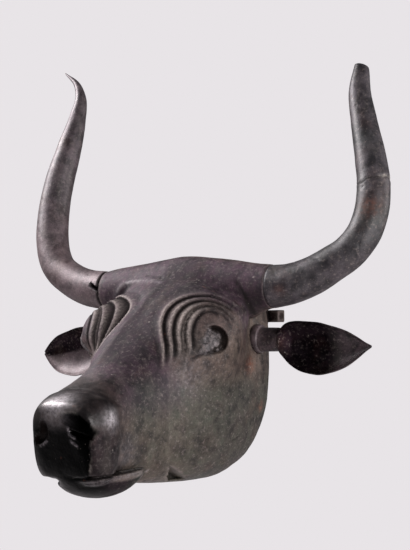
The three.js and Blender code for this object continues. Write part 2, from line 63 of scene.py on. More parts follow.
# Sections of the head: y, top, bottom, half width, level of that width, squareness above and below it.
SECTIONS = [
    (80, 18, -140, 55, -55, 2.8, 2.4), (66, 23, -156, 65, -65, 2.9, 2.5), (48, 25, -170, 73, -75, 2.7, 2.8),
    (25, 26, -181, 76, -80, 2.4, 3.0), (0, 21, -186, 76, -82, 2.3, 3.0), (-30, 6, -185.5, 74, -84, 2.5, 2.8),
    (-60, -23, -183, 63, -90, 2.6, 2.7), (-90, -50, -179, 46, -104, 2.2, 2.8),
    (-115, -69, -172, 38, -118, 2.1, 2.9), (-140, -84, -169, 37, -126, 2.4, 3.1),
    (-158, -91.5, -173, 39.5, -126, 2.6, 5.0), (-195, -95, -176, 39.5, -126, 2.6, 5.0),
]
NOSE_START, NOSE_LENGTH, NOSE_ROUNDNESS = -142, 51, 2.4
FACE_Y, FACE_Z, FACE_LEAN, FACE_EDGE = -180.0, -130.0, math.radians(15), 8.0
NOSE_MIDDLE_Z, NOSTRILS_Y = -128.0, -160.0

# The two brows: middle, height of the swelling, its reach, its reach downwards, and how far up it sits.
BROW_TURN = math.radians(60)
LEFT_BROW = {"at": (46.0, -37.5, -52.5), "swell": 14.0, "reach": 56.0, "fall": 56.0, "lift": 9.0}
RIGHT_BROW = {"at": (41.0, -37.5, -52.5), "swell": 18.0, "reach": 40.0, "fall": 32.0, "lift": 12.0}
# Ring folds: half width and half height of each oval ridge, depth of the flutes, height of the ridges.
FOLDS = [(44, 44.4), (38, 40), (32, 35), (25, 30.5)]
FOLD_DEPTHS = [4.2, 3.8, 2.8]
FOLD_CRESTS = [0.7, 0.4, 0.4, 0.3]
FOLD_FROM, FOLD_TO, FOLD_SPREAD = math.radians(22), math.radians(210), 0.9
TEMPLE_AT, TEMPLE_SWELL, TEMPLE_REACH = (82.0, -6.0, -17.0), 11.0, 34.0

# Eye: a round hollow drawn out to a corner, and a fine groove from the corner along its lower edge.
EYE_MIDDLE, EYE_RADIUS, EYE_CORNER, EYE_DEPTH = np.array([-0.5, 2.0]), 12.5, np.array([-22.0, -14.7]), 7.0
EYE_WEDGE = [(-24, -15.5), (-12.4, -10.6), (2.4, -8.8)]
LIP_LEVEL, LIP_FRONT, LIP_TILT = -165.0, -168.0, 0.09
LOWER_LIP_DROP, LOWER_LIP_Y, LOWER_LIP_TILT, LOWER_LIP_BAND = 2.4, -145.0, 0.045, 1.8
CHIN_AT, CHIN_HALF = np.array([-1.0, -126.5, -160.0]), np.array([38.0, 44.0, 27.0])
# Bar across the poll: x, radius, height of the centre.
BAR_ROWS = np.array([
    (-92.5, 20.9, 0.2), (-60, 23.2, 2.2), (-22, 25, 4.1), (4, 26, 5.6), (35, 25, 4.4), (63, 23.4, 2.4),
    (84, 21.5, 0.6), (102.5, 20.8, -0.8),
])
BAR_Y, BAR_FLARE, BAR_FLARE_LENGTH = 5.0, 10.0, 26.0
LUG_LOW, LUG_HIGH = np.array([42.0, 66.0, -33.0]), np.array([76.0, 80.0, -21.0])
EAR_ROOT, EAR_SEAT_RADIUS = np.array([72.0, 26.0, -50.0]), 14.6
# Notch under the jaw: its corners in the plane of y and z, and its half width.
JAW_NOTCH, JAW_NOTCH_HALF = [(-78, -162.5), (-43, -179.2), (-59, -179.2), (-69.5, -174)], 24.0
# Half of the gap between the head and a horn.
HALF_GAP = 0.15


# Helpers.
def ramp(value, start, end):
    """Smooth step from 0 at start to 1 at end."""
    t = np.clip((value - start) / (end - start), 0.0, 1.0)
    return t * t * (3 - 2 * t)


def curve_through(places, values, limited=True):
    """Cubic curve through values at rising places; limited keeps it from overshooting."""
    places, values = np.array(places, float), np.array(values, float)
    spans = np.diff(places)
    slopes = np.diff(values) / spans
    tangents = np.empty(len(places))
    tangents[0], tangents[-1] = slopes[0], slopes[-1]
    for i in range(1, len(places) - 1):
        before, after = spans[i - 1], spans[i]
        if not limited:
            tangents[i] = (slopes[i - 1] * after + slopes[i] * before) / (before + after)
        elif slopes[i - 1] * slopes[i] <= 0:
            tangents[i] = 0
        else:
            heavy, light = 2 * after + before, after + 2 * before
            tangents[i] = (heavy + light) / (heavy / slopes[i - 1] + light / slopes[i])

    def value_at(at):
        at = np.clip(at, places[0], places[-1])
        i = np.clip(np.searchsorted(places, at, side="right") - 1, 0, len(places) - 2)
        span = spans[i]
        t = (at - places[i]) / span
        s = 1 - t
        return (values[i] * s * s * (1 + 2 * t) + values[i + 1] * t * t * (3 - 2 * t)
                + span * tangents[i] * t * s * s - span * tangents[i + 1] * t * t * s)
    return value_at


def window(value, start, full, leave, end):
    """1 from full to leave, falling off smoothly to 0 at start and end."""
    return ramp(value, start, full) * (1 - ramp(value, leave, end))


def unit(value):
    return np.clip(value, 0, 1)


def direction(vector):
    return vector / np.linalg.norm(vector)


def curves_of(rows, columns, limited=True):
    """Curves through columns of rows, over their first column."""
    rows = np.array(rows, float)
    return [curve_through(rows[:, 0], rows[:, k], limited) for k in columns]


def soft_min(a, b, width):
    """The smaller of two sizes, rounded where they meet."""
    share = unit(0.5 + 0.5 * (b - a) / width)
    return b + (a - b) * share - width * share * (1 - share)


def lattice(ix, iy, iz, seed):
    """Fixed value from -1 to 1 at each grid corner; the large numbers only stir the bits."""
    n = (ix.astype(np.int64) * 374761393 + iy.astype(np.int64) * 668265263
         + iz.astype(np.int64) * 2147483629 + seed * 1274126177) & 0xFFFFFFFF
    n = ((n ^ (n >> 13)) * 1274126177) & 0xFFFFFFFF
    n = ((n ^ (n >> 16)) * 2246822519) & 0xFFFFFFFF
    return ((n ^ (n >> 15)) & 0xFFFF) / 32767.5 - 1.0


def noise(points, size, seed):
    """Smooth random values from -1 to 1, with lumps about as large as size."""
    p = points / size
    base = np.floor(p)
    f = p - base
    f = f * f * f * (f * (f * 6 - 15) + 10)
    base = base.astype(np.int64)
    total = 0.0
    for dx in (0, 1):
        for dy in (0, 1):
            for dz in (0, 1):
                weight = ((f[:, 0] if dx else 1 - f[:, 0]) * (f[:, 1] if dy else 1 - f[:, 1])
                          * (f[:, 2] if dz else 1 - f[:, 2]))
                total = total + weight * lattice(base[:, 0] + dx, base[:, 1] + dy, base[:, 2] + dz, seed)
    return total


def places_along(points):
    """Distance along a path at each of its points."""
    return np.concatenate([[0], np.cumsum(np.linalg.norm(np.diff(points, axis=0), axis=1))])


def path_distance(points, path):
    """Distance from each point to a path of straight stretches, and how far along it lies (0 to 1)."""
    path = np.array(path, float)
    starts = places_along(path)
    best = np.full(len(points), 1e9)
    along = np.zeros(len(points))
    for a, b, start, end in zip(path[:-1], path[1:], starts[:-1], starts[1:]):
        length = end - start
        d = (b - a) / length
        t = np.clip((points - a) @ d, 0, length)
        away = np.linalg.norm(points - a - t[:, None] * d, axis=1)
        nearer = away < best
        best[nearer] = away[nearer]
        along[nearer] = (start + t[nearer]) / starts[-1]
    return best, along


def bell(away, width):
    """1 where away is 0, fading smoothly on both sides."""
    return np.exp(-(away / width) ** 2)


def spot(points, at, size):
    return bell(np.linalg.norm(points - at, axis=1), size)


def line_away(points, path):
    return path_distance(points, path)[0]


def stroke(points, path, width):
    """1 on a path, fading smoothly beside it."""
    return bell(line_away(points, path), width)


def smooth_path(points, steps):
    """Even steps along a curve through points."""
    points = np.array(points, float)
    places = places_along(points)
    at = np.linspace(0, places[-1], steps)
    return np.stack([curve_through(places, column, limited=False)(at) for column in points.T], 1)


# Head as a signed size.
TOP, BOTTOM, WIDE, LEVEL, CROWN, JAW = curves_of(SECTIONS[::-1], range(1, 7))
BAR_RADIUS, BAR_HEIGHT = curves_of(BAR_ROWS, (1, 2), limited=False)


def skull(x, y, z):
    """Rounded sections of the head, and the flat front of the muzzle."""
    level, wide = LEVEL(y), WIDE(y)
    upper = z >= level
    height = np.where(upper, TOP(y) - level, level - BOTTOM(y))
    power = np.where(upper, CROWN(y), JAW(y))
    around = ((np.abs(x) / wide) ** power + (np.abs(z - level) / height) ** power) ** (1 / power)
    ahead = np.maximum(NOSE_START - y, 0) / NOSE_LENGTH
    reach = (around ** NOSE_ROUNDNESS + ahead ** NOSE_ROUNDNESS) ** (1 / NOSE_ROUNDNESS)
    face = (y - FACE_Y) * math.cos(FACE_LEAN) + (z - FACE_Z) * math.sin(FACE_LEAN)
    return -soft_min((1 - reach) * np.minimum(wide, height) * 0.9, face, FACE_EDGE)


def brow_place(brow, x, y, z):
    """Place in front of a brow: backwards, upwards and outwards from its middle."""
    dx, dy, dz = np.abs(x) - brow["at"][0], y - brow["at"][1], z - brow["at"][2]
    back, out = math.cos(BROW_TURN), math.sin(BROW_TURN)
    return dx * back + dy * out, dz, dx * out - dy * back


def brow_swelling(brow, x, y, z):
    across, up, rise = brow_place(brow, x, y, z)
    up = up - brow["lift"]
    away = np.hypot(across / brow["reach"], up / np.where(up < 0, brow["fall"], brow["reach"]))
    return brow["swell"] * (1 - np.minimum(away, 1) ** 3) ** 2 * ramp(rise, -40, -15)


def horn_bar(x, y, z):
    """Bar across the poll with round ends, deeper below between them."""
    reach = np.minimum(x - BAR_ROWS[0, 0], BAR_ROWS[-1, 0] - x) - HALF_GAP
    radius, lift = BAR_RADIUS(x), BAR_HEIGHT(x)
    away = np.hypot(y - BAR_Y, z - lift)
    under = np.maximum((lift - z) / np.maximum(away, 1e-6), 0)
    drop = BAR_FLARE * ramp(reach, 0, BAR_FLARE_LENGTH) * under ** 3
    return -soft_min(radius + drop - away, reach, 0.8)


def temple_swelling(x, y, z):
    across, along, up = np.abs(x) - TEMPLE_AT[0], y - TEMPLE_AT[1], z - TEMPLE_AT[2]
    away = np.sqrt(across ** 2 + along ** 2 + up ** 2) / TEMPLE_REACH
    return TEMPLE_SWELL * (1 - np.minimum(away, 1) ** 2) ** 2


def chin(x, y, z):
    p = [(value - at) / half for value, at, half in zip((x, y, z), CHIN_AT, CHIN_HALF)]
    near = np.sqrt(p[0] ** 2 + p[1] ** 2 + p[2] ** 2)
    steep = np.sqrt((p[0] / CHIN_HALF[0]) ** 2 + (p[1] / CHIN_HALF[1]) ** 2 + (p[2] / CHIN_HALF[2]) ** 2)
    return np.maximum(near * (near - 1) / np.maximum(steep, 1e-6), z - LIP_LEVEL - LIP_TILT * x)


def fixing_lug(x, y, z):
    middle, half = (LUG_LOW + LUG_HIGH) / 2, (LUG_HIGH - LUG_LOW) / 2
    sides = np.maximum(np.abs(np.abs(x) - middle[0]) - half[0], np.abs(y - middle[1]) - half[1])
    return np.maximum(sides, np.abs(z - middle[2]) - half[2])


def whole_head(x, y, z):
    """Skull with brows, temples, chin, horn bar, lugs and ear seats; negative inside."""
    left = ramp(x, -14, 14)
    size = skull(x, y, z) - brow_swelling(LEFT_BROW, x, y, z) * left
    size = size - brow_swelling(RIGHT_BROW, x, y, z) * (1 - left) - temple_swelling(x, y, z)
    size = np.maximum(size, np.minimum(LIP_FRONT - y, LIP_LEVEL + LIP_TILT * x - z))
    size = soft_min(size, chin(x, y, z), 1.2)
    size = soft_min(size, horn_bar(x, y, z), 1.2 + 10 * ramp(np.abs(x), 76, 35))
    size = np.maximum(size, y - NECK_BACK)
    size = soft_min(size, fixing_lug(x, y, z), 0.8)
    seat = EAR_SEAT_RADIUS - np.hypot(y - EAR_ROOT[1], z - EAR_ROOT[2])
    return np.maximum(size, np.minimum(seat, np.abs(x) - EAR_ROOT[0]))


# Lines and marks on the head.
# Back edge of the muzzle's pad: y over the turn round the nose, from straight up.
crease_y = curve_through(np.radians([0, 30.7, 44.5, 53.3, 62, 80]), [-157.5, -157, -153, -147, -134, -118])
FOREHEAD_BAND = smooth_path([
    (-70, -14, -8), (-64, -18, -1.5), (-55, -18.5, 5), (-41, -22, 7), (-27, -25.5, 7), (-2.4, -31.5, 4.9),
], 20)
UPPER_BAND = smooth_path([(-34.8, -20, 11.6), (-19.6, -24, 10.4), (-6.8, -28.6, 7.2)], 10)
CREST = smooth_path([
    (0, -33, 4), (-3, -54, -17), (-11, -71, -33), (-11, -90, -50), (-9, -113, -69), (-1, -138, -83),
], 20)
TEMPLE_CREASE = smooth_path([
    (75.5, -18, 3), (78.6, -16.7, -2.6), (82.7, -14.5, -11), (85, -11, -18.5), (85, -5, -25),
    (85.5, 0.4, -28),
], 20)
NOSE_CRACK_POINTS = [
    (-9.5, -183.4, -111.1), (0.3, -183.6, -110.2), (10.7, -183.2, -109.8), (19.2, -182, -109.9),
    (23.7, -181.1, -112.2), (27.7, -179.7, -115.3), (31.2, -177.6, -118.5), (33.6, -175.4, -121.7),
    (35.5, -172.6, -125.9), (34.1, -174.6, -128.9), (32.2, -176.1, -131.3), (30, -175.8, -139.5),
    (29.6, -174, -147.7), (26.4, -171.2, -157.8),
]
NOSE_CRACK = smooth_path(NOSE_CRACK_POINTS, 60)
# The crack's x over its height, carried on at both ends.
crack_sides = np.array([(15, 0, -175)] + NOSE_CRACK_POINTS[:2:-1] + [(-5, 0, -109)])
CRACK_X = curve_through(crack_sides[:, 2], crack_sides[:, 0])
SLIT_Z = curve_through([11, 23, 31, 36], [-123.2, -126.7, -128.9, -130.2])
NEAR_RIM = [(11.6, -182, -121.8), (11.9, -181.6, -125), (13.4, -181, -128.2), (17.4, -180.3, -130.4)]
NEAR_STREAK = [(13, -180, -133.8), (18.4, -179, -136.8)]
FAR_NOSTRIL = smooth_path([
    (-15, -182, -121.5), (-14.2, -181, -127), (-18, -179.5, -132), (-24, -177, -135),
], 12)
FAR_RIM = [(-22.3, -178, -139.2), (-13.6, -179.2, -134.6)]
LIP_CORNER = smooth_path([(30.5, -118, -173), (29, -105, -170), (31.6, -97.7, -164.8)], 8)
CHEEK_MARK = [(69, -14.8, -144.9), (70.7, -5.5, -142)]
# MUZZLE_HIGHLIGHT marks the middle of the painted highlight on the muzzle's dome.
CHEEK_HOLE, MUZZLE_HIGHLIGHT, LEFT_TEMPLE = [58.4, -14.4, -165.6], [-1, -180, -102], [89, -8, -14]
# Nostril rims: path, height, width. Worn lines: path, strength. Worn spots and painted highlights: place,
# size, strength.
NOSTRIL_RIMS = [(NEAR_RIM, 1.3, 1.1), (NEAR_STREAK, 0.8, 0.9), (FAR_RIM, 0.9, 0.9)]
WORN_LINES = [(NEAR_RIM, 1.0), (NEAR_STREAK, 0.8), (FAR_RIM, 0.9), (LIP_CORNER, 0.4)]
# The first two spots are painted highlights on the muzzle's dome and near side; the others lighten the jaw
# near the mouth and below the eye.
WORN_AND_HIGHLIGHT_SPOTS = [
    (MUZZLE_HIGHLIGHT, 12, 1.3), ([39, -158, -116], 8, 0.85), ([46, -136, -148], 15, 0.3),
    ([57, -75, -84], 17, 0.25),
]


def fold_strength(angle):
    turn = np.where(angle < -1.2, angle + 2 * np.pi, angle)
    return window(turn, FOLD_FROM, FOLD_FROM + 0.9, FOLD_TO - 0.4, FOLD_TO)


def eye_edge(across, up):
    """Signed distance to the drop-shaped outline of the eye."""
    axis = EYE_CORNER - EYE_MIDDLE
    length = np.hypot(*axis)
    axis = axis / length
    px = np.abs((across - EYE_MIDDLE[0]) * -axis[1] + (up - EYE_MIDDLE[1]) * axis[0])
    py = (across - EYE_MIDDLE[0]) * axis[0] + (up - EYE_MIDDLE[1]) * axis[1]
    b = EYE_RADIUS / length
    a = math.sqrt(1 - b * b)
    k = py * a - px * b
    return np.where(k < 0, np.hypot(px, py) - EYE_RADIUS,
                    np.where(k > a * length, np.hypot(px, py - length), px * a + py * b - EYE_RADIUS))


def nose_place(x, y, z):
    """Turn round the nose from straight up, and how far ahead of the pad's edge each point lies."""
    turn = np.arctan2(np.abs(x), z - NOSE_MIDDLE_Z)
    return turn, crease_y(turn) - y


def lip_place(x, y, z):
    """Height above the upper edge of the lower lip."""
    return z - LIP_LEVEL - LIP_TILT * x + LOWER_LIP_DROP + LOWER_LIP_TILT * (LOWER_LIP_Y - y)


def brow_view(x, y, z):
    """Place in front of the brow of its side for each point, and 1 where the point lies on that brow."""
    left, right = brow_place(LEFT_BROW, x, y, z), brow_place(RIGHT_BROW, x, y, z)
    across, up, rise = [np.where(x > 0, a, b) for a, b in zip(left, right)]
    return across, up, ramp(rise, -26, -18)


def ring_at(across, up, half):
    """Size of each point beside one oval ring, 1 on it; its front ends spread apart."""
    share = up / half[1]
    return np.hypot(across / (half[0] * (1 + FOLD_SPREAD * np.minimum(share, 0) ** 2)), share)


def folds(across, up, on_brow):
    """Height of the ring folds, how deep in a flute each point lies, and how near a crest."""
    rings = [ring_at(across, up, half) for half in FOLDS]
    strength = fold_strength(np.arctan2(up / 37, across / 35))
    keep = unit(1.3 * strength - 0.3) * on_brow
    rho = np.hypot(across, up)
    away = [(ring - 1) * rho / ring for ring in rings]
    height, shade, crest = np.zeros(len(across)), np.zeros(len(across)), np.zeros(len(across))
    for outer, inner, depth in zip(rings[:-1], rings[1:], FOLD_DEPTHS):
        t = (1 - outer) / np.maximum(inner - outer, 1e-6)
        bowl = np.where(t < 0.55, unit(t / 0.55) ** 0.8, unit((1 - t) / 0.45) ** 0.8)
        height -= depth * keep * bowl
        shade += keep * bowl
    for off, swell in zip(away, FOLD_CRESTS):
        height += swell * strength * bell(off - 0.2, 1.2) * on_brow
        crest += strength * bell(off - 0.2, 1.1) * on_brow
    # a fine ridge in the last flute
    last = (1 - rings[2]) / np.maximum(rings[3] - rings[2], 1e-6)
    height += 1.2 * keep * bell(last - 0.42, 0.14)
    crest += 0.7 * keep * bell(last - 0.42, 0.12)
    # grooves outside the first ring and inside the last
    height -= 0.8 * strength * bell(away[0] - 3.8, 1.7) * on_brow
    height -= 1.0 * keep * bell(away[3] + 3.4, 1.1)
    shade += 0.8 * keep * bell(away[3] + 3.4, 1.2)
    return height, shade, crest


def eye_relief(points, across, up):
    """Sunk eye with a rough floor, and the groove along its lower edge."""
    edge = eye_edge(across, up)
    turn = np.arctan2(up - EYE_MIDDLE[1], across - EYE_MIDDLE[0])
    deep = EYE_DEPTH * (0.5 + 0.5 * np.cos(turn - 0.35))
    bulge = 0.36 + 0.64 * np.exp(np.minimum(edge, 0) / 2.8)
    rough = 0.9 * noise(points, 3.1, 5) + 0.5 * noise(points, 1.9, 6)
    groove = 1.3 * stroke(np.stack([across, up], 1), EYE_WEDGE, 1.0)
    return -ramp(edge, 0.4, -1.3) * (deep * bulge + rough) - groove


def muzzle_relief(x, y, z):
    """Pad of the muzzle and the crease along its edge."""
    turn, ahead = nose_place(x, y, z)
    pad = 0.6 * ramp(ahead, 0, 9) * np.exp(-np.maximum(ahead, 0) / 22) * (1 - ramp(turn, 1.0, 1.25))
    return pad - 0.55 * bell(ahead - 0.6, 2.2) * (1 - ramp(turn, 0.7, 1.0))


def nostril_relief(points):
    """A slanting slit at the left, an open hollow at the right, and their rims."""
    x, y, z = points.T
    below = z - SLIT_Z(x)
    ends = window(x, 11, 13.5, 26, 34) * (y < NOSTRILS_Y)
    slit = 3.6 * ramp(below, 0.9, -0.8) * ramp(below, -4.2, -0.8) * ends
    hollow = 4.5 * ramp(line_away(points, FAR_NOSTRIL), 4.6, 1.2) * (y < NOSTRILS_Y)
    rims = sum(swell * stroke(points, path, wide) for path, swell, wide in NOSTRIL_RIMS)
    return rims - slit - hollow


def lip_relief(points):
    """Mouth slit, edges and corners of the lower lip, and the trimmed rim of the far chin."""
    x, y, z = points.T
    mouth, lip = z - LIP_LEVEL - LIP_TILT * x, lip_place(x, y, z)
    slit = 3.2 * bell(mouth + 0.5, 0.95) * ramp(y, -101, -108) * ramp(np.abs(x), 19, 25)
    edges = 0.8 * bell(lip, 1.1) - 0.5 * bell(lip + 1.9, 0.8) + 0.6 * bell(lip + 3.7, 1.1)
    edges *= ramp(y, -102, -110) * ramp(x, 12, 24)
    corners = 0.8 * stroke(np.stack([np.abs(x), y, z], 1), LIP_CORNER, 1.1)
    far_rim = 3.5 * bell(mouth + 3.2, 2.4) * ramp(x, -8, -20) * ramp(y, -102, -112)
    return edges + corners - slit - far_rim


def forehead_relief(points):
    """Roof-like middle of the forehead, and its lines below the horn bar."""
    middle, along = path_distance(points, CREST)
    height = 3.0 * np.exp(-middle / 12) * window(along, 0, 0.18, 0.7, 1)
    band, along = path_distance(points, FOREHEAD_BAND)
    height += 1.1 * bell(band, 3.2) * window(along, 0, 0.15, 0.85, 1)
    band, along = path_distance(points, UPPER_BAND)
    height += 0.5 * bell(band, 2.0) * window(along, 0, 0.3, 0.6, 1)
    return height - 1.5 * stroke(points, TEMPLE_CREASE, 1.5)


def cast_relief(points):
    dents = 0.5 * stroke(points, NOSE_CRACK, 0.8) + 0.9 * stroke(points, CHEEK_MARK, 1.0)
    dents += 1.2 * spot(points, CHEEK_HOLE, 1.3)
    lumps = 0.28 * noise(points, 19, 1) + 0.1 * noise(points, 6.5, 2)
    pits = 0.5 * ramp(noise(points, 4.2, 3), 0.62, 0.95) * (1 - 0.7 * ramp(points[:, 1], -130, -160))
    return lumps - dents - pits


def relief(points):
    """Height added to the surface, in mm."""
    x, y, z = points.T
    across, up, on_brow = brow_view(x, y, z)
    height, _, _ = folds(across, up, on_brow)
    height += eye_relief(points, across, up) * on_brow + muzzle_relief(x, y, z) + nostril_relief(points)
    return height + lip_relief(points) + forehead_relief(points) + cast_relief(points)


def polygon_sides(corners):
    """Outward normals and levels of the sides of a polygon in the plane of y and z."""
    corners = np.array(corners, float)
    middle = corners.mean(0)
    sides = []
    for a, b in zip(corners, np.roll(corners, -1, 0)):
        normal = np.array([b[1] - a[1], a[0] - b[0]])
        normal /= np.hypot(*normal)
        if normal @ (a - middle) < 0:
            normal = -normal
        sides.append((normal[0], normal[1], normal @ a))
    return sides


JAW_SIDES = polygon_sides(JAW_NOTCH)


def head_size(points):
    """Signed size of the head with relief and jaw notch."""
    x, y, z = points.T
    size = whole_head(x, y, z) - relief(points)
    notch = JAW_NOTCH_HALF - np.abs(x)
    for ny, nz, level in JAW_SIDES:
        notch = np.maximum(notch, ny * y + nz * z - level)
    size = np.maximum(size, -notch)
    return np.maximum(size, y - NECK_BACK)


def surface_net(values, low, cell):
    """Quads of the zero surface of a grid of values, one point in each cell that it crosses."""
    inside = values < 0
    nx, ny, nz = values.shape
    corners = [(i, j, k) for k in (0, 1) for j in (0, 1) for i in (0, 1)]
    count = np.zeros((nx - 1, ny - 1, nz - 1), np.int8)
    for i, j, k in corners:
        count += inside[i:nx - 1 + i, j:ny - 1 + j, k:nz - 1 + k]
    crossed = (count > 0) & (count < 8)
    number = -np.ones(crossed.shape, np.int64)
    cells = np.argwhere(crossed)
    number[crossed] = np.arange(len(cells))
    total, hits = np.zeros((len(cells), 3)), np.zeros(len(cells))
    for a in range(8):
        for step in (1, 2, 4):
            if a & step:
                continue
            ca, cb = np.array(corners[a]), np.array(corners[a + step])
            va, vb = values[tuple((cells + ca).T)], values[tuple((cells + cb).T)]
            cross = (va < 0) != (vb < 0)
            t = np.where(cross, va / np.where(cross, va - vb, 1), 0)
            total[cross] += (ca + (cb - ca) * t[:, None])[cross]
            hits[cross] += 1
    points = low + cell * (cells + total / hits[:, None])
    quads = []
    for axis in range(3):
        o1, o2 = np.eye(3, dtype=int)[[(axis + 1) % 3, (axis + 2) % 3]]
        at = np.argwhere(np.diff(inside, axis=axis))
        at = at[(at @ o1 > 0) & (at @ o2 > 0)]
        quad = np.stack([number[tuple((at - offset).T)] for offset in (o1 + o2, o2, 0 * o1, o1)], 1)
        turned = ~inside[tuple(at.T)]
        quad[turned] = quad[turned][:, ::-1]
        quads.append(quad)
    return points, np.concatenate(quads)


def head_mesh():
    """Coarse net of the head, moved onto the surface with its relief."""
    axes = [np.arange(GRID_LOW[k], GRID_HIGH[k], HEAD_CELL) for k in range(3)]
    values = np.broadcast_to(whole_head(*np.ix_(*axes)), [len(axis) for axis in axes]).copy()
    close = np.argwhere(np.abs(values) < RELIEF_BAND)
    values[tuple(close.T)] = head_size(GRID_LOW + HEAD_CELL * close)
    points, quads = surface_net(values, GRID_LOW, HEAD_CELL)
    used, quads = np.unique(quads, return_inverse=True)
    points, quads = points[used], quads.reshape(-1, 4)
    step = 0.25
    for _ in range(2):
        here = head_size(points)
        slope = np.stack([head_size(points + step * np.eye(3)[k]) - here for k in range(3)], 1) / step
        steep = (slope ** 2).sum(1)
        move = -here[:, None] * slope / np.maximum(steep, 0.2)[:, None]
        far = np.linalg.norm(move, axis=1)
        move *= np.minimum(1, 0.35 * HEAD_CELL / np.maximum(far, 1e-9))[:, None]
        points = points + 0.8 * move
    return points, quads


# Meshes.
def bulge_of(points, faces, rounds):
    """How far each point stands out from its neighbourhood, in mm; hollows are negative."""
    edges = np.concatenate([faces[:, [0, 1]], faces[:, [1, 2]], faces[:, [2, 3]], faces[:, [3, 0]]])
    edges = np.concatenate([edges, edges[:, ::-1]])
    count = np.bincount(edges[:, 0], minlength=len(points))[:, None]
    smooth = points
    for _ in range(rounds):
        total = np.stack([np.bincount(edges[:, 0], smooth[edges[:, 1], k], len(points)) for k in range(3)], 1)
        smooth = total / count
    a, b, c, d = (points[faces[:, k]] for k in range(4))
    normals = np.cross(c - a, d - b)
    total = np.zeros_like(points)
    for k in range(4):
        np.add.at(total, faces[:, k], normals)
    total /= np.linalg.norm(total, axis=1)[:, None] + 1e-12
    return ((points - smooth) * total).sum(1)


def add_marks(mesh, values):
    for key, numbers in values.items():
        layer = mesh.attributes.new(key, "FLOAT", "POINT")
        layer.data.foreach_set("value", np.asarray(numbers, np.float32))


def place_mesh(name, points, faces):
    """Object from points in mm round the horn line, kept inside the box of the solids."""
    points = (points + HORN_LINE) / 1000
    points = np.clip(points, np.array(CAD_LOW), np.array(CAD_HIGH))
    mesh = bpy.data.meshes.new(name)
    mesh.from_pydata(points.tolist(), [], [tuple(f) for f in faces])
    mesh.validate()
    mesh.polygons.foreach_set("use_smooth", np.ones(len(mesh.polygons), bool))
    mesh.update()
    obj = bpy.data.objects.new(name, mesh)
    bpy.context.scene.collection.objects.link(obj)
    return obj


def skin(rings):
    """Quads and end caps over rings of equal length; the first and last ring shrink to their middle."""
    rings = np.array(rings)
    count = rings.shape[1]
    points = [rings[0].mean(0)[None]] + [ring for ring in rings[1:-1]] + [rings[-1].mean(0)[None]]
    points = np.concatenate(points)
    last = len(points) - 1
    inner = len(rings) - 2
    faces = []
    for side in range(count):
        other = (side + 1) % count
        faces.append((0, 1 + other, 1 + side))
        faces.append((last, 1 + (inner - 1) * count + side, 1 + (inner - 1) * count + other))
    for ring in range(inner - 1):
        a = 1 + ring * count
        b = a + count
        for side in range(count):
            other = (side + 1) % count
            faces.append((a + side, a + other, b + other, b + side))
    return points, faces


def outward(obj):
    """Turns all faces of a closed mesh outwards."""
    shape = bmesh.new()
    shape.from_mesh(obj.data)
    bmesh.ops.recalc_face_normals(shape, faces=shape.faces)
    if shape.calc_volume(signed=True) < 0:
        bmesh.ops.reverse_faces(shape, faces=shape.faces)
    shape.to_mesh(obj.data)
    shape.free()
    obj.data.update()


def boolean(obj, other, kind):
    modifier = obj.modifiers.new(kind, "BOOLEAN")
    modifier.operation = kind
    modifier.solver = "EXACT"
    modifier.object = other
    depsgraph = bpy.context.evaluated_depsgraph_get()
    mesh = bpy.data.meshes.new_from_object(obj.evaluated_get(depsgraph))
    obj.modifiers.clear()
    obj.data = mesh
    bpy.data.objects.remove(other)


# Horns.
# Rows from root to tip: x, y, z and radius.
RIGHT_HORN = [
    (92.5, 5, 0.5, 20.6), (117, 5.6, 3.7, 19.7), (135, 7, 9, 19), (152, 8.8, 17, 18.3), (167, 11.2, 27, 18),
    (178, 14.6, 41, 18.2), (185.5, 19, 60, 18.2), (191.5, 27, 92, 17.6), (191.5, 35.5, 128, 16.6),
    (186, 45, 167, 14.4), (181, 54, 206, 10), (181, 60, 231, 6.9), (190, 65, 250, 4.1), (213, 69.6, 270, 0.7),
]
LEFT_HORN = [
    (102.5, 4.6, -1.1, 20.6), (120, 4.9, 1, 19.2), (140, 6.3, 6.9, 18), (160, 9, 17.7, 16.7),
    (177, 11.7, 29, 16.1), (188.5, 15, 43.4, 15.8), (195, 20, 64, 15.7), (195.5, 26, 88, 15.4),
    (190.5, 32.5, 116, 14.5), (180.5, 42, 155, 12.4), (173.5, 49.8, 188, 10.3), (173.4, 56, 213, 7.2),
]
HORN_SIDES, HORN_STEP = 72, 1.5
HORN_ANGLES = 2 * np.pi * np.arange(HORN_SIDES) / HORN_SIDES
# Height of the mended crack; length, slant and direction of the break; opening of the right horn's joint.
CRACK_HEIGHT, BREAK_LENGTH, BREAK_SLANT, BREAK_TURN, OPEN_JOINT = 92.5, 9, 1.6, 2.6, 2.2
SLOT_HALF, SLOT_MIDDLE, SLOT_TURN = (10, 5.5, 2.3), (-96, -12, 2.3), 0.5


def horn_axes(curves, at, length):
    """Middle of a horn at a place along it, its direction, and two directions across."""
    centre = np.array([curve(at) for curve in curves])
    ahead, behind = min(at + 0.5, length), max(at - 0.5, 0)
    along = direction(np.array([curve(ahead) - curve(behind) for curve in curves]))
    lean = ramp(at, 0, 12)
    along = direction(np.array([1.0, 0, 0]) * (1 - lean) + along * lean)
    back = direction(np.array([0, 1.0, 0]) - along * along[1])
    return centre, along, back, np.cross(along, back)


def horn_lumps(ring, at):
    lumps = 0.16 * noise(ring, 14, 11) + 0.07 * noise(ring, 5, 12) - 0.45 * ramp(at, 1.6, 0)
    return lumps - 0.4 * ramp(noise(ring, 3.6, 13), 0.66, 0.95)


def crack_away(ring, centre):
    """Distance from the mended crack round the horn."""
    line = CRACK_HEIGHT - 2.5 * np.cos(HORN_ANGLES - 2.13) + 2.2 * noise(ring, 5, 17)
    return np.abs(centre[2] + (ring[:, 2] - centre[2]) * 0.15 - line)


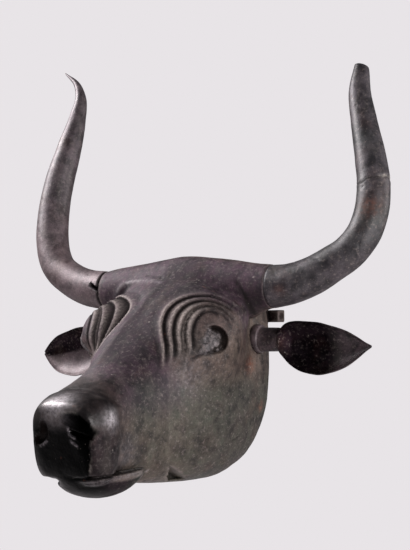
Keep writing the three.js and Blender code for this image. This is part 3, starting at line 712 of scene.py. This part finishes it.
def end_rings(ring, shares, rough):
    """Smaller rings towards the middle of an end, rough where the tip is broken off."""
    middle = ring.mean(0)
    made = []
    for share in shares:
        inner = middle + (ring - middle) * share
        if rough:
            inner[:, 2] += rough * noise(inner, 2.3, 19) * (1 - share) ** 0.5 - 0.8 * (1 - share)
        made.append(inner)
    return made


def horn(rows, broken):
    """Points and faces of a horn, and how near a crack each point lies; the whole horn is the right one."""
    rows = np.array(rows, float)
    places = places_along(rows[:, :3])
    length = places[-1]
    curves = [curve_through(places, rows[:, k], limited=k == 3) for k in range(4)]
    rings, marks = [], []
    for at in np.linspace(0, length, int(length / HORN_STEP)):
        centre, along, back, aside = horn_axes(curves[:3], at, length)
        radius = curves[3](at)
        away = np.cos(HORN_ANGLES)[:, None] * back + np.sin(HORN_ANGLES)[:, None] * aside
        ring = centre + radius * away
        lumps, mark = horn_lumps(ring, at), np.zeros(HORN_SIDES)
        if broken:
            off = crack_away(ring, centre)
            mark = bell(off, 1.1)
            lumps += 0.2 * bell(off - 2.2, 1.2) - 0.55 * mark
        ring += away * (lumps * min(1, radius / 6))[:, None]
        opening = HALF_GAP
        if broken:
            end = ramp(at, length - BREAK_LENGTH, length)
            ring -= along * (end * BREAK_SLANT * (1 + np.sin(HORN_ANGLES + BREAK_TURN)))[:, None]
        else:
            opening = HALF_GAP + OPEN_JOINT * (1 + (ring[:, 2] - centre[2]) / radius) / 2
        ring[:, 0] += opening * (1 - ramp(at, 0, 14))
        rings.append(ring)
        marks.append(mark)
    root = end_rings(rings[0], (0.0, 0.5, 0.85), 0)
    tip = end_rings(rings[-1], (0.9, 0.75, 0.5, 0.25, 0.0), 0.6 if broken else 0)
    points, faces = skin(root + rings + tip)
    tip_mark = np.full(HORN_SIDES, 0.55 if broken else 0.0)
    marks = [marks[0]] * (len(root) - 1) + marks + [tip_mark] * (len(tip) - 1)
    marks = np.concatenate([marks[0][:1]] + marks + [tip_mark[:1]])
    return points * [1 if broken else -1, 1, 1], faces, marks


def horn_marks(points, cracks, broken):
    x, y, z = points.T
    # The right horn gets painted light, strongest low on its bend and fading towards the tip, and dirt in its
    # root joint.
    if not broken:
        return {"light": 0.3 + 0.6 * ramp(z, 110, 50), "dirt_and_shade": ramp(np.abs(x), 96.8, 95.2)}
    pale = ramp(0.85 * (x - 195.5) + 0.53 * (y - 27), -2, 4)
    return {
        "green": 0.25 + 0.3 * ramp(z, 10, 40) * (z < 70),
        "dirt_and_shade": unit(cracks * (1 - pale)),
        "rust": 1.2 * spot(points, [199, 6.5, 68], 9) + 0.5 * spot(points, [118, -14, -6], 6),
        "scar": cracks * pale,
    }


def cut_root_slot(obj):
    corners = np.array([(x, y, z) for x in (-1, 1) for y in (-1, 1) for z in (-1, 1)]) * SLOT_HALF
    turn = Matrix.Rotation(SLOT_TURN, 3, "Y")
    corners = np.array([turn @ Vector(corner) for corner in corners]) + SLOT_MIDDLE
    faces = [(0, 1, 3, 2), (4, 6, 7, 5), (0, 4, 5, 1), (2, 3, 7, 6), (0, 2, 6, 4), (1, 5, 7, 3)]
    cutter = place_mesh("slot_cutter", corners, faces)
    outward(cutter)
    boolean(obj, cutter, "DIFFERENCE")


# Ears.
# Rows of the leaf: share of the length, depth of the scoop, depth of the back, flare of the back.
LEAF = np.array([
    (0, 1, 14, 4.5), (0.05, 6, 17, 4.5), (0.13, 12.5, 17, 3), (0.3, 14.5, 18, 0), (0.45, 13.5, 16.8, 0),
    (0.6, 12, 15, 0), (0.75, 9.5, 12, 0), (0.87, 6, 8, 0), (0.95, 3, 4.5, 0), (1, 1, 2, 0),
])
# Height of the tip and half heights of the rows.
LEFT_EAR = (-57.0, (8, 12, 17.5, 23.8, 24.5, 21.8, 17, 10, 4.2, 1.2))
RIGHT_EAR = (-66.0, (8, 13, 19, 25, 26.3, 24, 20, 13, 6.4, 1.6))
LEAF_FROM, LEAF_INSET, LEAF_RIM, LEAF_SAG, EAR_TIP_X, EAR_TIP_Y = 101.5, 0.8, 0.62, 5.0, 194.0, 19.0
LEAF_RINGS, LEAF_ACROSS = 110, 34
LEAF_ANGLES = np.pi * np.arange(LEAF_ACROSS + 1) / LEAF_ACROSS
LEAF_SCOOP, LEAF_DEPTH, LEAF_FLARE = curves_of(LEAF, (1, 2, 3))
# Rows of the collar from the ear's root, and rows of the stem: x, y, z and radius.
EAR_GAP, STEM_SIDES = 0.3, 64
COLLAR = [
    (0, 0, 0, 0), (0, 0, 0, 10), (0, 0, 0, 13.4), (0.6, 0, 0, 14), (4, 0, 0, 14), (6, 0, 0, 13.8),
    (6.8, 0, 0, 13.2), (7, 0, 0, 12.6), (7.3, -0.5, -0.8, 12),
]
STEM = [
    (81, 25.5, -50.8, 11.7), (90, 25.5, -50.8, 11.6), (97, 25.5, -50.8, 11.5), (100, 25.8, -50.8, 11.1),
    (102, 26.3, -50.9, 10.4), (104, 27.1, -51, 9.5), (106.5, 28.3, -51.1, 8.2), (110, 29.6, -51.4, 6.4),
    (114, 30.4, -51.8, 4.4), (118, 30.5, -52.1, 2.6), (121, 30.2, -52.3, 0),
]


def leaf_folds(share):
    """Three fine folds low in the hollow."""
    low = ramp(LEAF_ANGLES, 1.9, 2.4) * window(share, 0.015, 0.06, 0.26, 0.4)
    return 0.55 * low * sum(bell(LEAF_ANGLES - place, 0.035) for place in (2.46, 2.62, 2.78))


def leaf_ring(share, tip_z, half):
    x = LEAF_FROM - LEAF_INSET + (EAR_TIP_X - LEAF_FROM + LEAF_INSET) * share
    along = (x - EAR_ROOT[0]) / (EAR_TIP_X - EAR_ROOT[0])
    scoop, depth, flare = LEAF_SCOOP(share), LEAF_DEPTH(share), LEAF_FLARE(share)
    round_base = math.sqrt(1 - (1 - min(share / 0.035, 1)) ** 2)
    half *= 0.05 + 0.95 * round_base
    flare *= 0.3 + 0.7 * round_base
    scoop *= ramp(share, 0, 0.05) ** 0.5
    rim = EAR_ROOT[1] + (EAR_TIP_Y - EAR_ROOT[1]) * along - LEAF_RIM * depth
    middle = EAR_ROOT[2] + (tip_z - EAR_ROOT[2]) * along - LEAF_SAG * math.sin(math.pi * share)
    bow, up = np.sin(LEAF_ANGLES), half * np.cos(LEAF_ANGLES)
    level = np.full_like(up, x)
    hollow = rim + scoop * unit(bow - 0.03) ** 1.3 + leaf_folds(share)
    hollow += 0.25 * noise(np.stack([level, hollow, middle + up], 1), 9, 21)
    front = np.stack([level, hollow - 0.6, middle + up * 0.955], 1)
    behind = rim + 0.7 + 1.5 * flare * (1 - bow) + depth * bow
    back = np.stack([level, behind, middle + up + flare * np.cos(LEAF_ANGLES)], 1)[::-1]
    lip_low, lip_high = [[[x, rim - 0.75, middle + side * half * 0.985]] for side in (-1, 1)]
    return np.concatenate([front[1:-1], lip_low, back, lip_high])


def leaf(tip_z, halves):
    leaf_half = curve_through(LEAF[:, 0], halves)
    shares = 0.5 - 0.5 * np.cos(np.pi * (0.06 + 0.94 * np.linspace(0, 1, LEAF_RINGS)))
    shares = (shares - shares[0]) / (shares[-1] - shares[0])
    rings = [leaf_ring(share, tip_z, leaf_half(share)) for share in shares]
    rings = [np.repeat(rings[0].mean(0)[None], len(rings[0]), 0)] + rings
    rings.append(np.repeat(rings[-1].mean(0)[None] + [[0.4, 0, 0]], len(rings[-1]), 0))
    return skin(rings)


def ear_stem():
    collar = np.array(COLLAR) + [EAR_ROOT[0] + EAR_GAP, EAR_ROOT[1], EAR_ROOT[2], 0]
    angles = 2 * np.pi * np.arange(STEM_SIDES) / STEM_SIDES
    rings = []
    for x, y, z, radius in np.concatenate([collar, STEM]):
        ring = [np.full(STEM_SIDES, x), y + radius * np.cos(angles), z + radius * np.sin(angles)]
        rings.append(np.stack(ring, 1))
    return skin(rings)


def ear(name, tip_z, halves, mirror):
    sign = np.array([-1.0 if mirror else 1.0, 1, 1])
    made = []
    for part, (points, faces) in ((name, ear_stem()), (name + "_blade", leaf(tip_z, halves))):
        made.append(place_mesh(part, points * sign, faces))
        outward(made[-1])
    stem, blade = made
    boolean(stem, blade, "UNION")
    stem.data.polygons.foreach_set("use_smooth", np.ones(len(stem.data.polygons), bool))
    return stem


def point_values(obj, key):
    numbers = np.empty(len(obj.data.vertices) * 3)
    obj.data.vertices.foreach_get(key, numbers)
    return numbers.reshape(-1, 3)


# Painted shade in the ears' hollows: the upper half of the mirrored ear's hollow, and all but the tip of the
# other's; painted light over the mirrored ear's hollow beneath that shade, and a lighter collar near the
# root.
def ear_marks(obj, tip_z, mirror):
    x, y, z = (1000 * point_values(obj, "co") - HORN_LINE).T
    share = (np.abs(x) - LEAF_FROM) / (EAR_TIP_X - LEAF_FROM)
    facing = point_values(obj, "normal")[:, 1]
    hollow = ramp(share, -0.06, 0.02) * ramp(y, 33, 29) * ramp(facing, 0.1, -0.2)
    middle = EAR_ROOT[2] + (tip_z - EAR_ROOT[2]) * share - LEAF_SAG
    shade = hollow * (ramp(z - middle, -1.0, 1.5) if mirror else ramp(share, 0.72, 0.5))
    light = np.maximum(0.95 * hollow * mirror, 0.45 * ramp(np.abs(x), 87, 85))
    return {"shade_and_dark_tone": shade, "dim": shade, "light": light}


# Marks of the head, numbers at its points that steer the patina, painted shade and painted highlights.
class HeadView:
    """Where each point lies on the head, seen in the ways that the marks need."""

    def __init__(self, points):
        self.points = points
        self.x, self.y, self.z = points.T
        self.across, self.up, self.on_brow = brow_view(*points.T)
        self.eye = eye_edge(self.across, self.up)
        self.eye_turn = np.arctan2(self.up - EYE_MIDDLE[1], self.across - EYE_MIDDLE[0])
        self.over_eye = ramp(np.cos(self.eye_turn), -0.55, 0.2) * (self.x > 0)
        _, flutes, self.crests = folds(self.across, self.up, self.on_brow)
        self.flutes = unit(flutes) ** (1 + 1.5 * self.over_eye) * (1 - 0.25 * self.over_eye)
        self.nose_turn, self.pad_ahead = nose_place(*points.T)
        self.uneven_y = self.y + 6 * noise(points, 12, 31) + 3 * noise(points, 4, 32)
        self.lip = lip_place(*points.T) + LOWER_LIP_BAND
        self.far_hollow = line_away(points, FAR_NOSTRIL)


def muzzle_mark(h):
    """Dark, smooth skin of the muzzle."""
    pad = ramp(h.pad_ahead, -0.6, 1.2) * (1 - ramp(h.nose_turn, 0.85, 1.2))
    return np.maximum(pad, ramp(h.uneven_y, -122, -160))


def black_and_shaded_front(h):
    """Almost black lower front of the muzzle on the inner side of its crack, a dark patina with painted
    shade, and painted shade under the chin.
    """
    inside_crack = ramp(CRACK_X(h.z) - h.x, -0.5, 0.9) * ramp(h.y, -140, -150)
    front = inside_crack * np.maximum(ramp(h.x, 0, 14) * ramp(h.z, -108, -111), ramp(h.z, -114, -127))
    front = np.maximum(front, ramp(h.x, 33, 15) * ramp(h.z, -150, -158) * ramp(h.y, -112, -132))
    return unit(front)


def muzzle_side(h):
    return ramp(h.x, 22, 30) * ramp(h.z, -116, -130) * ramp(h.uneven_y, -136, -156)


# Painted shade under the lower lip.
def chin_shade(h):
    return ramp(h.z, -166, -171) * ramp(h.y, -100, -112) * ramp(h.lip, -2.0, -4.0)


# Painted shade on the sides of the fixing lugs.
def lug_shade(h):
    side = ramp(h.y, 62, 66) * (h.y < 79.2) * ramp(np.abs(h.x), 60, 64)
    return side * (h.z > -34.5) * (h.z < -19)


# Painted shade on the near half of the forehead, outside the brow folds.
def forehead_shade(h):
    beside = h.x - np.interp(-h.y, -CREST[:, 1], CREST[:, 0])
    shade = ramp(beside, -8, 4) * ramp(beside, 62, 34) * ramp(h.y, -5, -28) * ramp(h.y, -134, -100)
    return shade * ramp(h.z, -104, -82) * (1 - ramp(ring_at(h.across, h.up, FOLDS[0]), 1.07, 1.0) * h.on_brow)


# Painted shade in a crescent along the deep side of the eye.
def eye_crescent(h):
    return ramp(h.eye, 0.9, -0.5) * ramp(h.eye, -8.0, -4.0) * ramp(np.cos(h.eye_turn - 0.45), -0.15, 0.5)


def eye_shade_and_patches(h):
    """Painted shade in a crescent of the eye, and dark patches on its floor."""
    low = ramp(h.eye, 0.0, -1.5) * ramp(np.cos(h.eye_turn + 0.9), -0.2, 0.7)
    patches = ramp(h.eye, 0.0, -1.5) * ramp(noise(h.points, 2.6, 33), -0.15, 0.15)
    return eye_crescent(h) + (0.35 + 0.65 * low) * patches


def wear_and_hollow_shade_mark(h, quads):
    """How far each point stands out, for wear on the bulges and painted shade in the hollows, except in the
    eyes, nostrils and under the muzzle.
    """
    near_slit = bell(h.z - SLIT_Z(h.x), 5) * window(h.x, 4, 9, 40, 46) * (h.y < NOSTRILS_Y)
    wear_and_hollow_shade = bulge_of(h.points, quads, 5) * (1 - 0.95 * ramp(h.eye, 4.5, 2.5) * h.on_brow)
    wear_and_hollow_shade = wear_and_hollow_shade * (1 - 0.7 * h.over_eye * h.on_brow) * (1 - near_slit) * ramp(h.far_hollow, 4, 8)
    return wear_and_hollow_shade * (1 - ramp(h.y, -116, -128) * ramp(h.nose_turn, 0.7, 1.0))


# Worn places and painted highlights: highlights on the muzzle's dome and near side and along the forehead
# band, lighter rims, lips and eye floor.
def worn_and_highlight_mark(h):
    worn_and_highlight = sum(share * spot(h.points, at, size) for at, size, share in WORN_AND_HIGHLIGHT_SPOTS)
    worn_and_highlight += sum(share * stroke(h.points, path, 0.9) for path, share in WORN_LINES)
    worn_and_highlight += 0.2 * bell(h.lip, 2.4) * ramp(h.x, 14, 24) * ramp(h.y, -100, -112)
    worn_and_highlight += 0.04 * muzzle_side(h) * (1 - black_and_shaded_front(h))
    worn_and_highlight += 0.38 * ramp(h.eye, 0.0, -3.0) * h.on_brow * (1 - unit(eye_shade_and_patches(h)))
    return worn_and_highlight + 0.4 * stroke(h.points, FOREHEAD_BAND, 2.2)


# Dirt in the grooves and the far joint, with painted shade in the eye, the flutes, the far nostril, the
# temple crease and under the near end of the horn bar.
def dirt_and_shade_mark(h, wedge):
    dirt_and_shade = (0.95 * eye_shade_and_patches(h) + 0.9 * wedge) * h.on_brow + np.where(h.x < 0, 2.2, 1.4) * h.flutes
    dirt_and_shade += ramp(h.far_hollow, 5.8, 4.2) * (h.y < NOSTRILS_Y) + 0.9 * stroke(h.points, CHEEK_MARK, 1.1)
    temple_away = np.linalg.norm(h.points - LEFT_TEMPLE, axis=1)
    dirt_and_shade += 0.9 * stroke(h.points, TEMPLE_CREASE, 2.2) + 0.7 * ramp(temple_away, 20, 9) * ramp(h.x, 79, 84)
    return dirt_and_shade + ramp(-h.x, 90.3, 91.4) * (h.z > -30)


def head_marks(points, quads):
    h = HeadView(points)
    far, muzzle, side = h.x < 0, muzzle_mark(h), muzzle_side(h)
    chin_dark, lug = chin_shade(h), lug_shade(h)
    wedge = stroke(np.stack([h.across, h.up], 1), EYE_WEDGE, 1.2)
    # Painted shade by metal, dark and without diffuse light: under the lip, in the far nostril, on the lugs,
    # in the flutes and the eye, and the muzzle's own dark side.
    dim = chin_dark + 0.85 * side + ramp(h.far_hollow, 5.5, 4.0) * (h.y < NOSTRILS_Y) + lug
    dim += np.where(far, 0.9, 0.6) * h.flutes + 0.8 * unit(eye_crescent(h) + wedge) * h.on_brow
    # Painted shade on the near forehead, under the lip and on the lugs, the muzzle's own dark side, and
    # darker low on the cheeks towards the back.
    shade_and_dark_tone = 0.75 * forehead_shade(h) + chin_dark + 0.7 * lug + 0.8 * side
    shade_and_dark_tone += 0.5 * ramp(h.y, -75, -20) * ramp(h.z, -72, -105)
    # Painted highlight along the crests of the folds, faint over the near eye.
    near_crests = 0.05 + 0.9 * ramp(np.cos(h.eye_turn), 0.0, -0.8)
    forehead = ramp(h.z, -62, -30) * ramp(h.y, 10, -10) + ramp(h.y, -60, -90) * ramp(h.z, -128, -98)
    inside_folds = ramp(ring_at(h.across, h.up, FOLDS[1]), 1.05, 0.9) * h.on_brow * (h.x > 0)
    green = 0.7 * ramp(h.z, -70, -100) * ramp(h.uneven_y, -140, -112)
    return {
        "wear_and_hollow_shade": wear_and_hollow_shade_mark(h, quads),
        "dim": unit(dim),
        "crest": unit(h.crests * np.where(far, 0.45, near_crests)),
        "shade_and_dark_tone": unit(shade_and_dark_tone),
        "worn_and_highlight": unit(worn_and_highlight_mark(h)),
        "pitted": ramp(h.eye, 0.0, -2.5) * h.on_brow,
        # The polish thins where the muzzle's painted highlight spreads.
        "polish": muzzle * (1 - 0.5 * side) * (1 - 0.5 * spot(points, MUZZLE_HIGHLIGHT, 13)),
        "front": black_and_shaded_front(h),
        "forehead": unit(forehead) * (1 - muzzle) * (1 - 0.7 * inside_folds),
        "green": green + 0.5 * spot(points, [57, -70, -118], 14),
        "dirt_and_shade": unit(dirt_and_shade_mark(h, wedge)),
        "rust": unit(spot(points, [76, 7, -75], 8) + spot(points, [74.5, 31, -115.6], 5)),
        "scar": 0.8 * stroke(points, NOSE_CRACK, 0.7),
    }


# Patina.
# Darker and lighter colour of the metal in a region, and of painted light and painted shade.
LILAC, LIT_AND_LIGHTER = ((44, 28, 41), (87, 62, 80)), ((94, 81, 85), (136, 118, 122))
DARK_TONE_AND_SHADE, POLISHED = ((21, 14, 19), (49, 37, 45)), ((7, 4, 7), (23, 15, 20))
# Colours of what lies on the metal, and of painted shade and painted highlights.
WARM, STREAK, HAZE, GRAIN = (92, 62, 52), (140, 134, 124), (150, 138, 134), (24, 22, 24)
RUBBED, HOLLOW_SHADE, BLACK_AND_SHADE, DIRT_AND_SHADE, PIT = (158, 146, 142), (16, 13, 14), (1, 2, 2), (22, 17, 16), (24, 18, 17)
CREST_HIGHLIGHT, WORN_AND_HIGHLIGHT, SPECK = (186, 172, 166), (184, 177, 182), (176, 168, 160)


def srgb(r, g, b):
    def line(c):
        c = c / 255
        return c / 12.92 if c <= 0.04045 else ((c + 0.055) / 1.055) ** 2.4
    return (line(r), line(g), line(b), 1.0)


class Nodes:
    """Short hand for the nodes of a material or world."""

    def __init__(self, owner):
        owner.use_nodes = True
        self.tree = owner.node_tree
        self.tree.nodes.clear()

    def feed(self, socket, value):
        """Links a socket to an output, or gives it a plain value."""
        if isinstance(value, bpy.types.NodeSocket):
            self.tree.links.new(value, socket)
        else:
            socket.default_value = value

    def add(self, kind, inputs=None, **settings):
        node = self.tree.nodes.new("ShaderNode" + kind)
        for key, value in settings.items():
            setattr(node, key, value)
        for key, value in (inputs or {}).items():
            self.feed(node.inputs[key], value)
        return node

    def math(self, operation, a, b, clamp=False):
        return self.add("Math", {0: a, 1: b}, operation=operation, use_clamp=clamp).outputs[0]

    def plus(self, a, b, clamp=False):
        return self.math("ADD", a, b, clamp)

    def times(self, a, b):
        return self.math("MULTIPLY", a, b)

    def rescale(self, value, low, high, out_low=0.0, out_high=1.0, smooth=False):
        inputs = {"Value": value, "From Min": low, "From Max": high, "To Min": out_low, "To Max": out_high}
        kind = "SMOOTHSTEP" if smooth else "LINEAR"
        return self.add("MapRange", inputs, interpolation_type=kind).outputs["Result"]

    def mix(self, share, a, b):
        return self.add("Mix", {0: share, 6: a, 7: b}, data_type="RGBA").outputs[2]

    def two_tone(self, tone, pair):
        return self.mix(tone, srgb(*pair[0]), srgb(*pair[1]))

    def cover(self, colour, layers):
        for share, over in layers:
            colour = self.mix(share, colour, srgb(*over))
        return colour

    def noise(self, where, scale, detail=3.0, rough=0.55):
        inputs = {"Vector": where, "Scale": scale, "Detail": detail, "Roughness": rough}
        return self.add("TexNoise", inputs).outputs["Fac"]

    def attribute(self, name):
        return self.add("Attribute", attribute_name=name).outputs["Fac"]


def weathered(n, place, colour, mottle, fine, grain, green, streaks):
    cloud = n.rescale(n.noise(place, 34, 3), 0.45, 0.68, 0, 1, True)
    verdigris = n.plus(n.attribute("green"), n.times(cloud, 0.3), True)
    warm = n.rescale(n.noise(place, 27, 4, 0.6), 0.5, 0.68, 0, 0.3, True)
    tall = n.add("Mapping", {"Vector": place, "Scale": (70, 70, 9)}).outputs[0]
    return n.cover(colour, [
        (n.times(verdigris, n.rescale(mottle, 0.35, 0.65, 0.15, 0.75)), green),
        (n.times(warm, n.rescale(fine, 0.35, 0.65, 0.3, 1.0)), WARM),
        (n.rescale(n.noise(tall, 1.6, 3), 0.5, 0.72, 0, streaks, True), STREAK),
        (n.rescale(fine, 0.54, 0.72, 0.0, 0.5), HAZE),
        (n.rescale(grain, 0.38, 0.68, 0.0, 0.42), GRAIN),
    ])


def marked(n, colour, fine, dirt_and_shade, pitted, front):
    wear_and_hollow_shade = n.attribute("wear_and_hollow_shade")
    return n.cover(colour, [
        # lighter where bulges are worn, painted shade in the hollows
        (n.rescale(wear_and_hollow_shade, 0.12, 0.5, 0, 0.3), RUBBED),
        (n.rescale(wear_and_hollow_shade, -0.05, -0.5, 0, 0.7), HOLLOW_SHADE),
        # black front: dark patina with painted shade
        (n.times(front, 0.98), BLACK_AND_SHADE),
        # dirt with painted shade in the eye, flutes, nostril and creases
        (n.times(dirt_and_shade, n.rescale(fine, 0.3, 0.7, 0.6, 1.0)), DIRT_AND_SHADE),
        (n.times(pitted, n.rescale(fine, 0.45, 0.57, 0.9, 0.0)), PIT),
        # painted highlight along the crests of the folds
        (n.times(n.attribute("crest"), n.rescale(fine, 0.35, 0.6, 0.2, 0.85)), CREST_HIGHLIGHT),
        # worn places with painted highlights
        (n.times(n.attribute("worn_and_highlight"), n.rescale(fine, 0.35, 0.62, 0.25, 0.85)), WORN_AND_HIGHLIGHT),
    ])


def rusty(n, place, shade_and_dark_tone):
    """Scattered spots, fewer in the painted shade and the dark tone, and the marks of the mesh."""
    spots = n.rescale(n.noise(place, 60, 4, 0.7), 0.66, 0.74, 0, 0.5, True)
    spots = n.times(spots, n.rescale(shade_and_dark_tone, 0.0, 1.0, 1.0, 0.15))
    patchy = n.rescale(n.noise(place, 260, 4, 0.7), 0.35, 0.65, 0.1, 1.0)
    return n.times(n.plus(spots, n.attribute("rust"), True), patchy)


def specks(n, place, scale, channel, edge, core):
    """Specks in one cell out of ten."""
    cells = n.add("TexVoronoi", {"Vector": place, "Scale": scale, "Randomness": 1.0})
    chance = n.add("SeparateColor", {"Color": cells.outputs["Color"]}).outputs[channel]
    return n.times(n.rescale(cells.outputs["Distance"], edge, core), n.math("GREATER_THAN", chance, 0.9))


def pale_share(n, place, mottle, polish):
    large = n.times(specks(n, place, 130.0, 0, 0.13, 0.06), 0.6)
    small = n.times(specks(n, place, 330.0, 1, 0.2, 0.1), 0.25)
    pale = n.times(n.plus(large, small, True), n.rescale(polish, 0, 1, 1, 0.35))
    return n.plus(pale, n.times(n.attribute("scar"), n.rescale(mottle, 0.4, 0.6, 0.0, 0.8)), True)


def bronze(name, dark, light, green, rust, roughness, streaks):
    """Bronze with a patina, painted shade and painted highlights steered by the marks of the mesh."""
    material = bpy.data.materials.new(name)
    n = Nodes(material)
    place = n.add("TexCoord").outputs["Object"]
    mottle, fine = n.noise(place, 95, 5, 0.62), n.noise(place, 330, 4, 0.65)
    grain = n.noise(place, 620, 3, 0.6)
    marks = ("forehead", "shade_and_dark_tone", "polish", "dirt_and_shade", "pitted", "front")
    forehead, shade_and_dark_tone, polish, dirt_and_shade, pitted, front = [n.attribute(mark) for mark in marks]
    rust_share, pale = rusty(n, place, shade_and_dark_tone), pale_share(n, place, mottle, polish)
    clouds = n.rescale(n.noise(place, 22, 4), 0.3, 0.7, -0.35, 0.35)
    tone = n.plus(clouds, n.rescale(mottle, 0.37, 0.63, 0.0, 1.0), True)
    colour = n.two_tone(tone, (dark, light))
    # Lilac forehead, then painted light, then painted shade with the dark tone, each over the last.
    for share, pair in ((n.times(forehead, 0.9), LILAC), (n.attribute("light"), LIT_AND_LIGHTER), (shade_and_dark_tone, DARK_TONE_AND_SHADE)):
        colour = n.mix(share, colour, n.two_tone(tone, pair))
    colour = weathered(n, place, colour, mottle, fine, grain, green, streaks)
    colour = n.mix(n.times(polish, 0.88), colour, n.two_tone(tone, POLISHED))
    colour = marked(n, colour, fine, dirt_and_shade, pitted, front)
    colour = n.cover(colour, [(n.times(rust_share, 0.6), rust), (pale, SPECK)])
    rough = n.rescale(mottle, 0.3, 0.7, roughness - 0.06, roughness + 0.09)
    for share, change in ((rust_share, 0.25), (forehead, 0.12), (shade_and_dark_tone, 0.15), (polish, -0.22)):
        rough = n.plus(rough, n.times(share, change))
    rough = n.plus(rough, n.times(dirt_and_shade, 0.3), True)
    height = n.plus(n.times(grain, 0.35), n.times(mottle, n.rescale(polish, 0.0, 1.0, 0.6, 1.5)))
    height = n.plus(height, n.times(fine, n.plus(n.times(n.plus(dirt_and_shade, pitted), 2.4), 0.5)))
    height = n.math("SUBTRACT", height, n.times(pale, 0.3))
    bump = n.add("Bump", {"Height": height, "Strength": 0.45, "Distance": 0.0006}).outputs[0]
    # Metallic rises where the front is black and on the dim marks, so painted shade there takes no diffuse
    # light.
    metal = n.rescale(n.math("MAXIMUM", front, n.attribute("dim")), 0.0, 1.0, 0.25, 1.0)
    surface = {"Base Color": colour, "Roughness": rough, "Normal": bump, "Metallic": metal}
    shader = n.add("BsdfPrincipled", surface)
    shader.inputs["Specular IOR Level"].default_value = 0.5
    n.add("OutputMaterial", {"Surface": shader.outputs[0]})
    return material


def finish_piece(obj, node, material):
    obj.data.materials.clear()
    obj.data.materials.append(material)
    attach(obj, "root")
    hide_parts(node)


# Stage, light and camera.
FLOOR_RADIUS, FLOOR_Y, FLOOR_Z, FLOOR_SIDES = 1.3, -0.1, -0.52, 96
CAMERA_AZIMUTH, CAMERA_RISE, CAMERA_FAR = math.radians(32), math.radians(-4), 0.9
CAMERA_RIGHT, CAMERA_UP, SENSOR, FOCAL_SHARE = 0.025, 0.0135, 36, 900 / 550


def pale_floor():
    mesh = bpy.data.meshes.new("floor")
    turns = np.linspace(0, 2 * np.pi, FLOOR_SIDES + 1)[:-1]
    rim = [(FLOOR_RADIUS * math.cos(t), FLOOR_Y + FLOOR_RADIUS * math.sin(t), FLOOR_Z) for t in turns]
    mesh.from_pydata(rim, [], [tuple(range(FLOOR_SIDES))])
    floor = bpy.data.objects.new("floor", mesh)
    bpy.context.scene.collection.objects.link(floor)
    paint = bpy.data.materials.new("pale_floor")
    n = Nodes(paint)
    paper = n.noise(n.add("TexCoord").outputs["Object"], 40, 4)
    tint = n.two_tone(n.rescale(paper, 0.3, 0.7), ((214, 208, 210), (226, 221, 223)))
    base = n.add("BsdfPrincipled", {"Base Color": tint, "Roughness": 0.9})
    n.add("OutputMaterial", {"Surface": base.outputs[0]})
    mesh.materials.append(paint)
    return floor


def area_light(name, place, target, size, energy, colour):
    lamp = bpy.data.lights.new(name, "AREA")
    lamp.shape = "DISK"
    lamp.size = size
    lamp.energy = energy
    lamp.color = colour
    obj = bpy.data.objects.new(name, lamp)
    obj.location = place
    obj.rotation_euler = (Vector(target) - Vector(place)).to_track_quat("-Z", "Y").to_euler()
    bpy.context.scene.collection.objects.link(obj)


def studio_world():
    """Pale to the camera, dim to everything else."""
    world = bpy.data.worlds.new("studio")
    n = Nodes(world)
    seen = n.add("Background", {0: srgb(232, 228, 231)}).outputs[0]
    lit = n.add("Background", {0: (0.12, 0.12, 0.125, 1)}).outputs[0]
    to_camera = n.add("LightPath").outputs["Is Camera Ray"]
    n.add("OutputWorld", {0: n.add("MixShader", {0: to_camera, 1: lit, 2: seen}).outputs[0]})
    bpy.context.scene.world = world


def photo_camera():
    turn, rise = CAMERA_AZIMUTH, CAMERA_RISE
    right = Vector((math.cos(turn), math.sin(turn), 0))
    away = Vector((math.sin(turn) * math.cos(rise), -math.cos(turn) * math.cos(rise), math.sin(rise)))
    upward = away.cross(right)
    place = Vector(HORN_LINE / 1000) + CAMERA_RIGHT * right + CAMERA_UP * upward + CAMERA_FAR * away
    camera = bpy.data.objects.new("camera", bpy.data.cameras.new("camera"))
    camera.data.sensor_width = SENSOR
    camera.data.lens = SENSOR * FOCAL_SHARE
    camera.data.clip_start = 0.01
    columns = [(*column, 0) for column in (right, upward, away)] + [(*place, 1)]
    camera.matrix_world = Matrix(columns).transposed()
    bpy.context.scene.collection.objects.link(camera)
    bpy.context.scene.camera = camera


# Build.
patina = bronze("patina_head", (48, 38, 35), (115, 98, 89), (50, 66, 53), (144, 88, 66), 0.56, 0.14)
patina_horn = bronze("patina_horns", (44, 39, 44), (92, 82, 89), (56, 70, 64), (124, 80, 66), 0.48, 0.1)
patina_ear = bronze("patina_ears", (38, 32, 36), (88, 73, 79), (52, 64, 58), (110, 76, 62), 0.46, 0.1)

head_points, head_quads = head_mesh()
head = place_mesh("head_fine", head_points, head_quads)
add_marks(head.data, head_marks(head_points, head_quads))
finish_piece(head, "head", patina)

for node, rows, broken in (("horn_left", LEFT_HORN, True), ("horn_right", RIGHT_HORN, False)):
    points, faces, cracks = horn(rows, broken)
    obj = place_mesh(node + "_fine", points, faces)
    add_marks(obj.data, horn_marks(points, cracks, broken))
    outward(obj)
    if not broken:
        cut_root_slot(obj)
    finish_piece(obj, node, patina_horn)

for node, (tip_z, halves), mirror in (("ear_left", LEFT_EAR, False), ("ear_right", RIGHT_EAR, True)):
    obj = ear(node + "_fine", tip_z, halves, mirror)
    add_marks(obj.data, ear_marks(obj, tip_z, mirror))
    finish_piece(obj, node, patina_ear)

floor = pale_floor()
area_light("key", (-1.25, -0.4, 1.05), (0, -0.12, 0.02), 0.8, 40, (1.0, 0.97, 0.98))
area_light("fill", (1.62, -0.78, 0.16), (0, -0.12, -0.03), 1.1, 21, (1.0, 0.98, 0.97))
area_light("rim", (1.4, 0.75, 0.35), (0, -0.18, -0.03), 0.7, 8, (1.0, 0.98, 0.98))

studio_world()
bpy.context.scene.view_settings.view_transform = "Standard"
photo_camera()
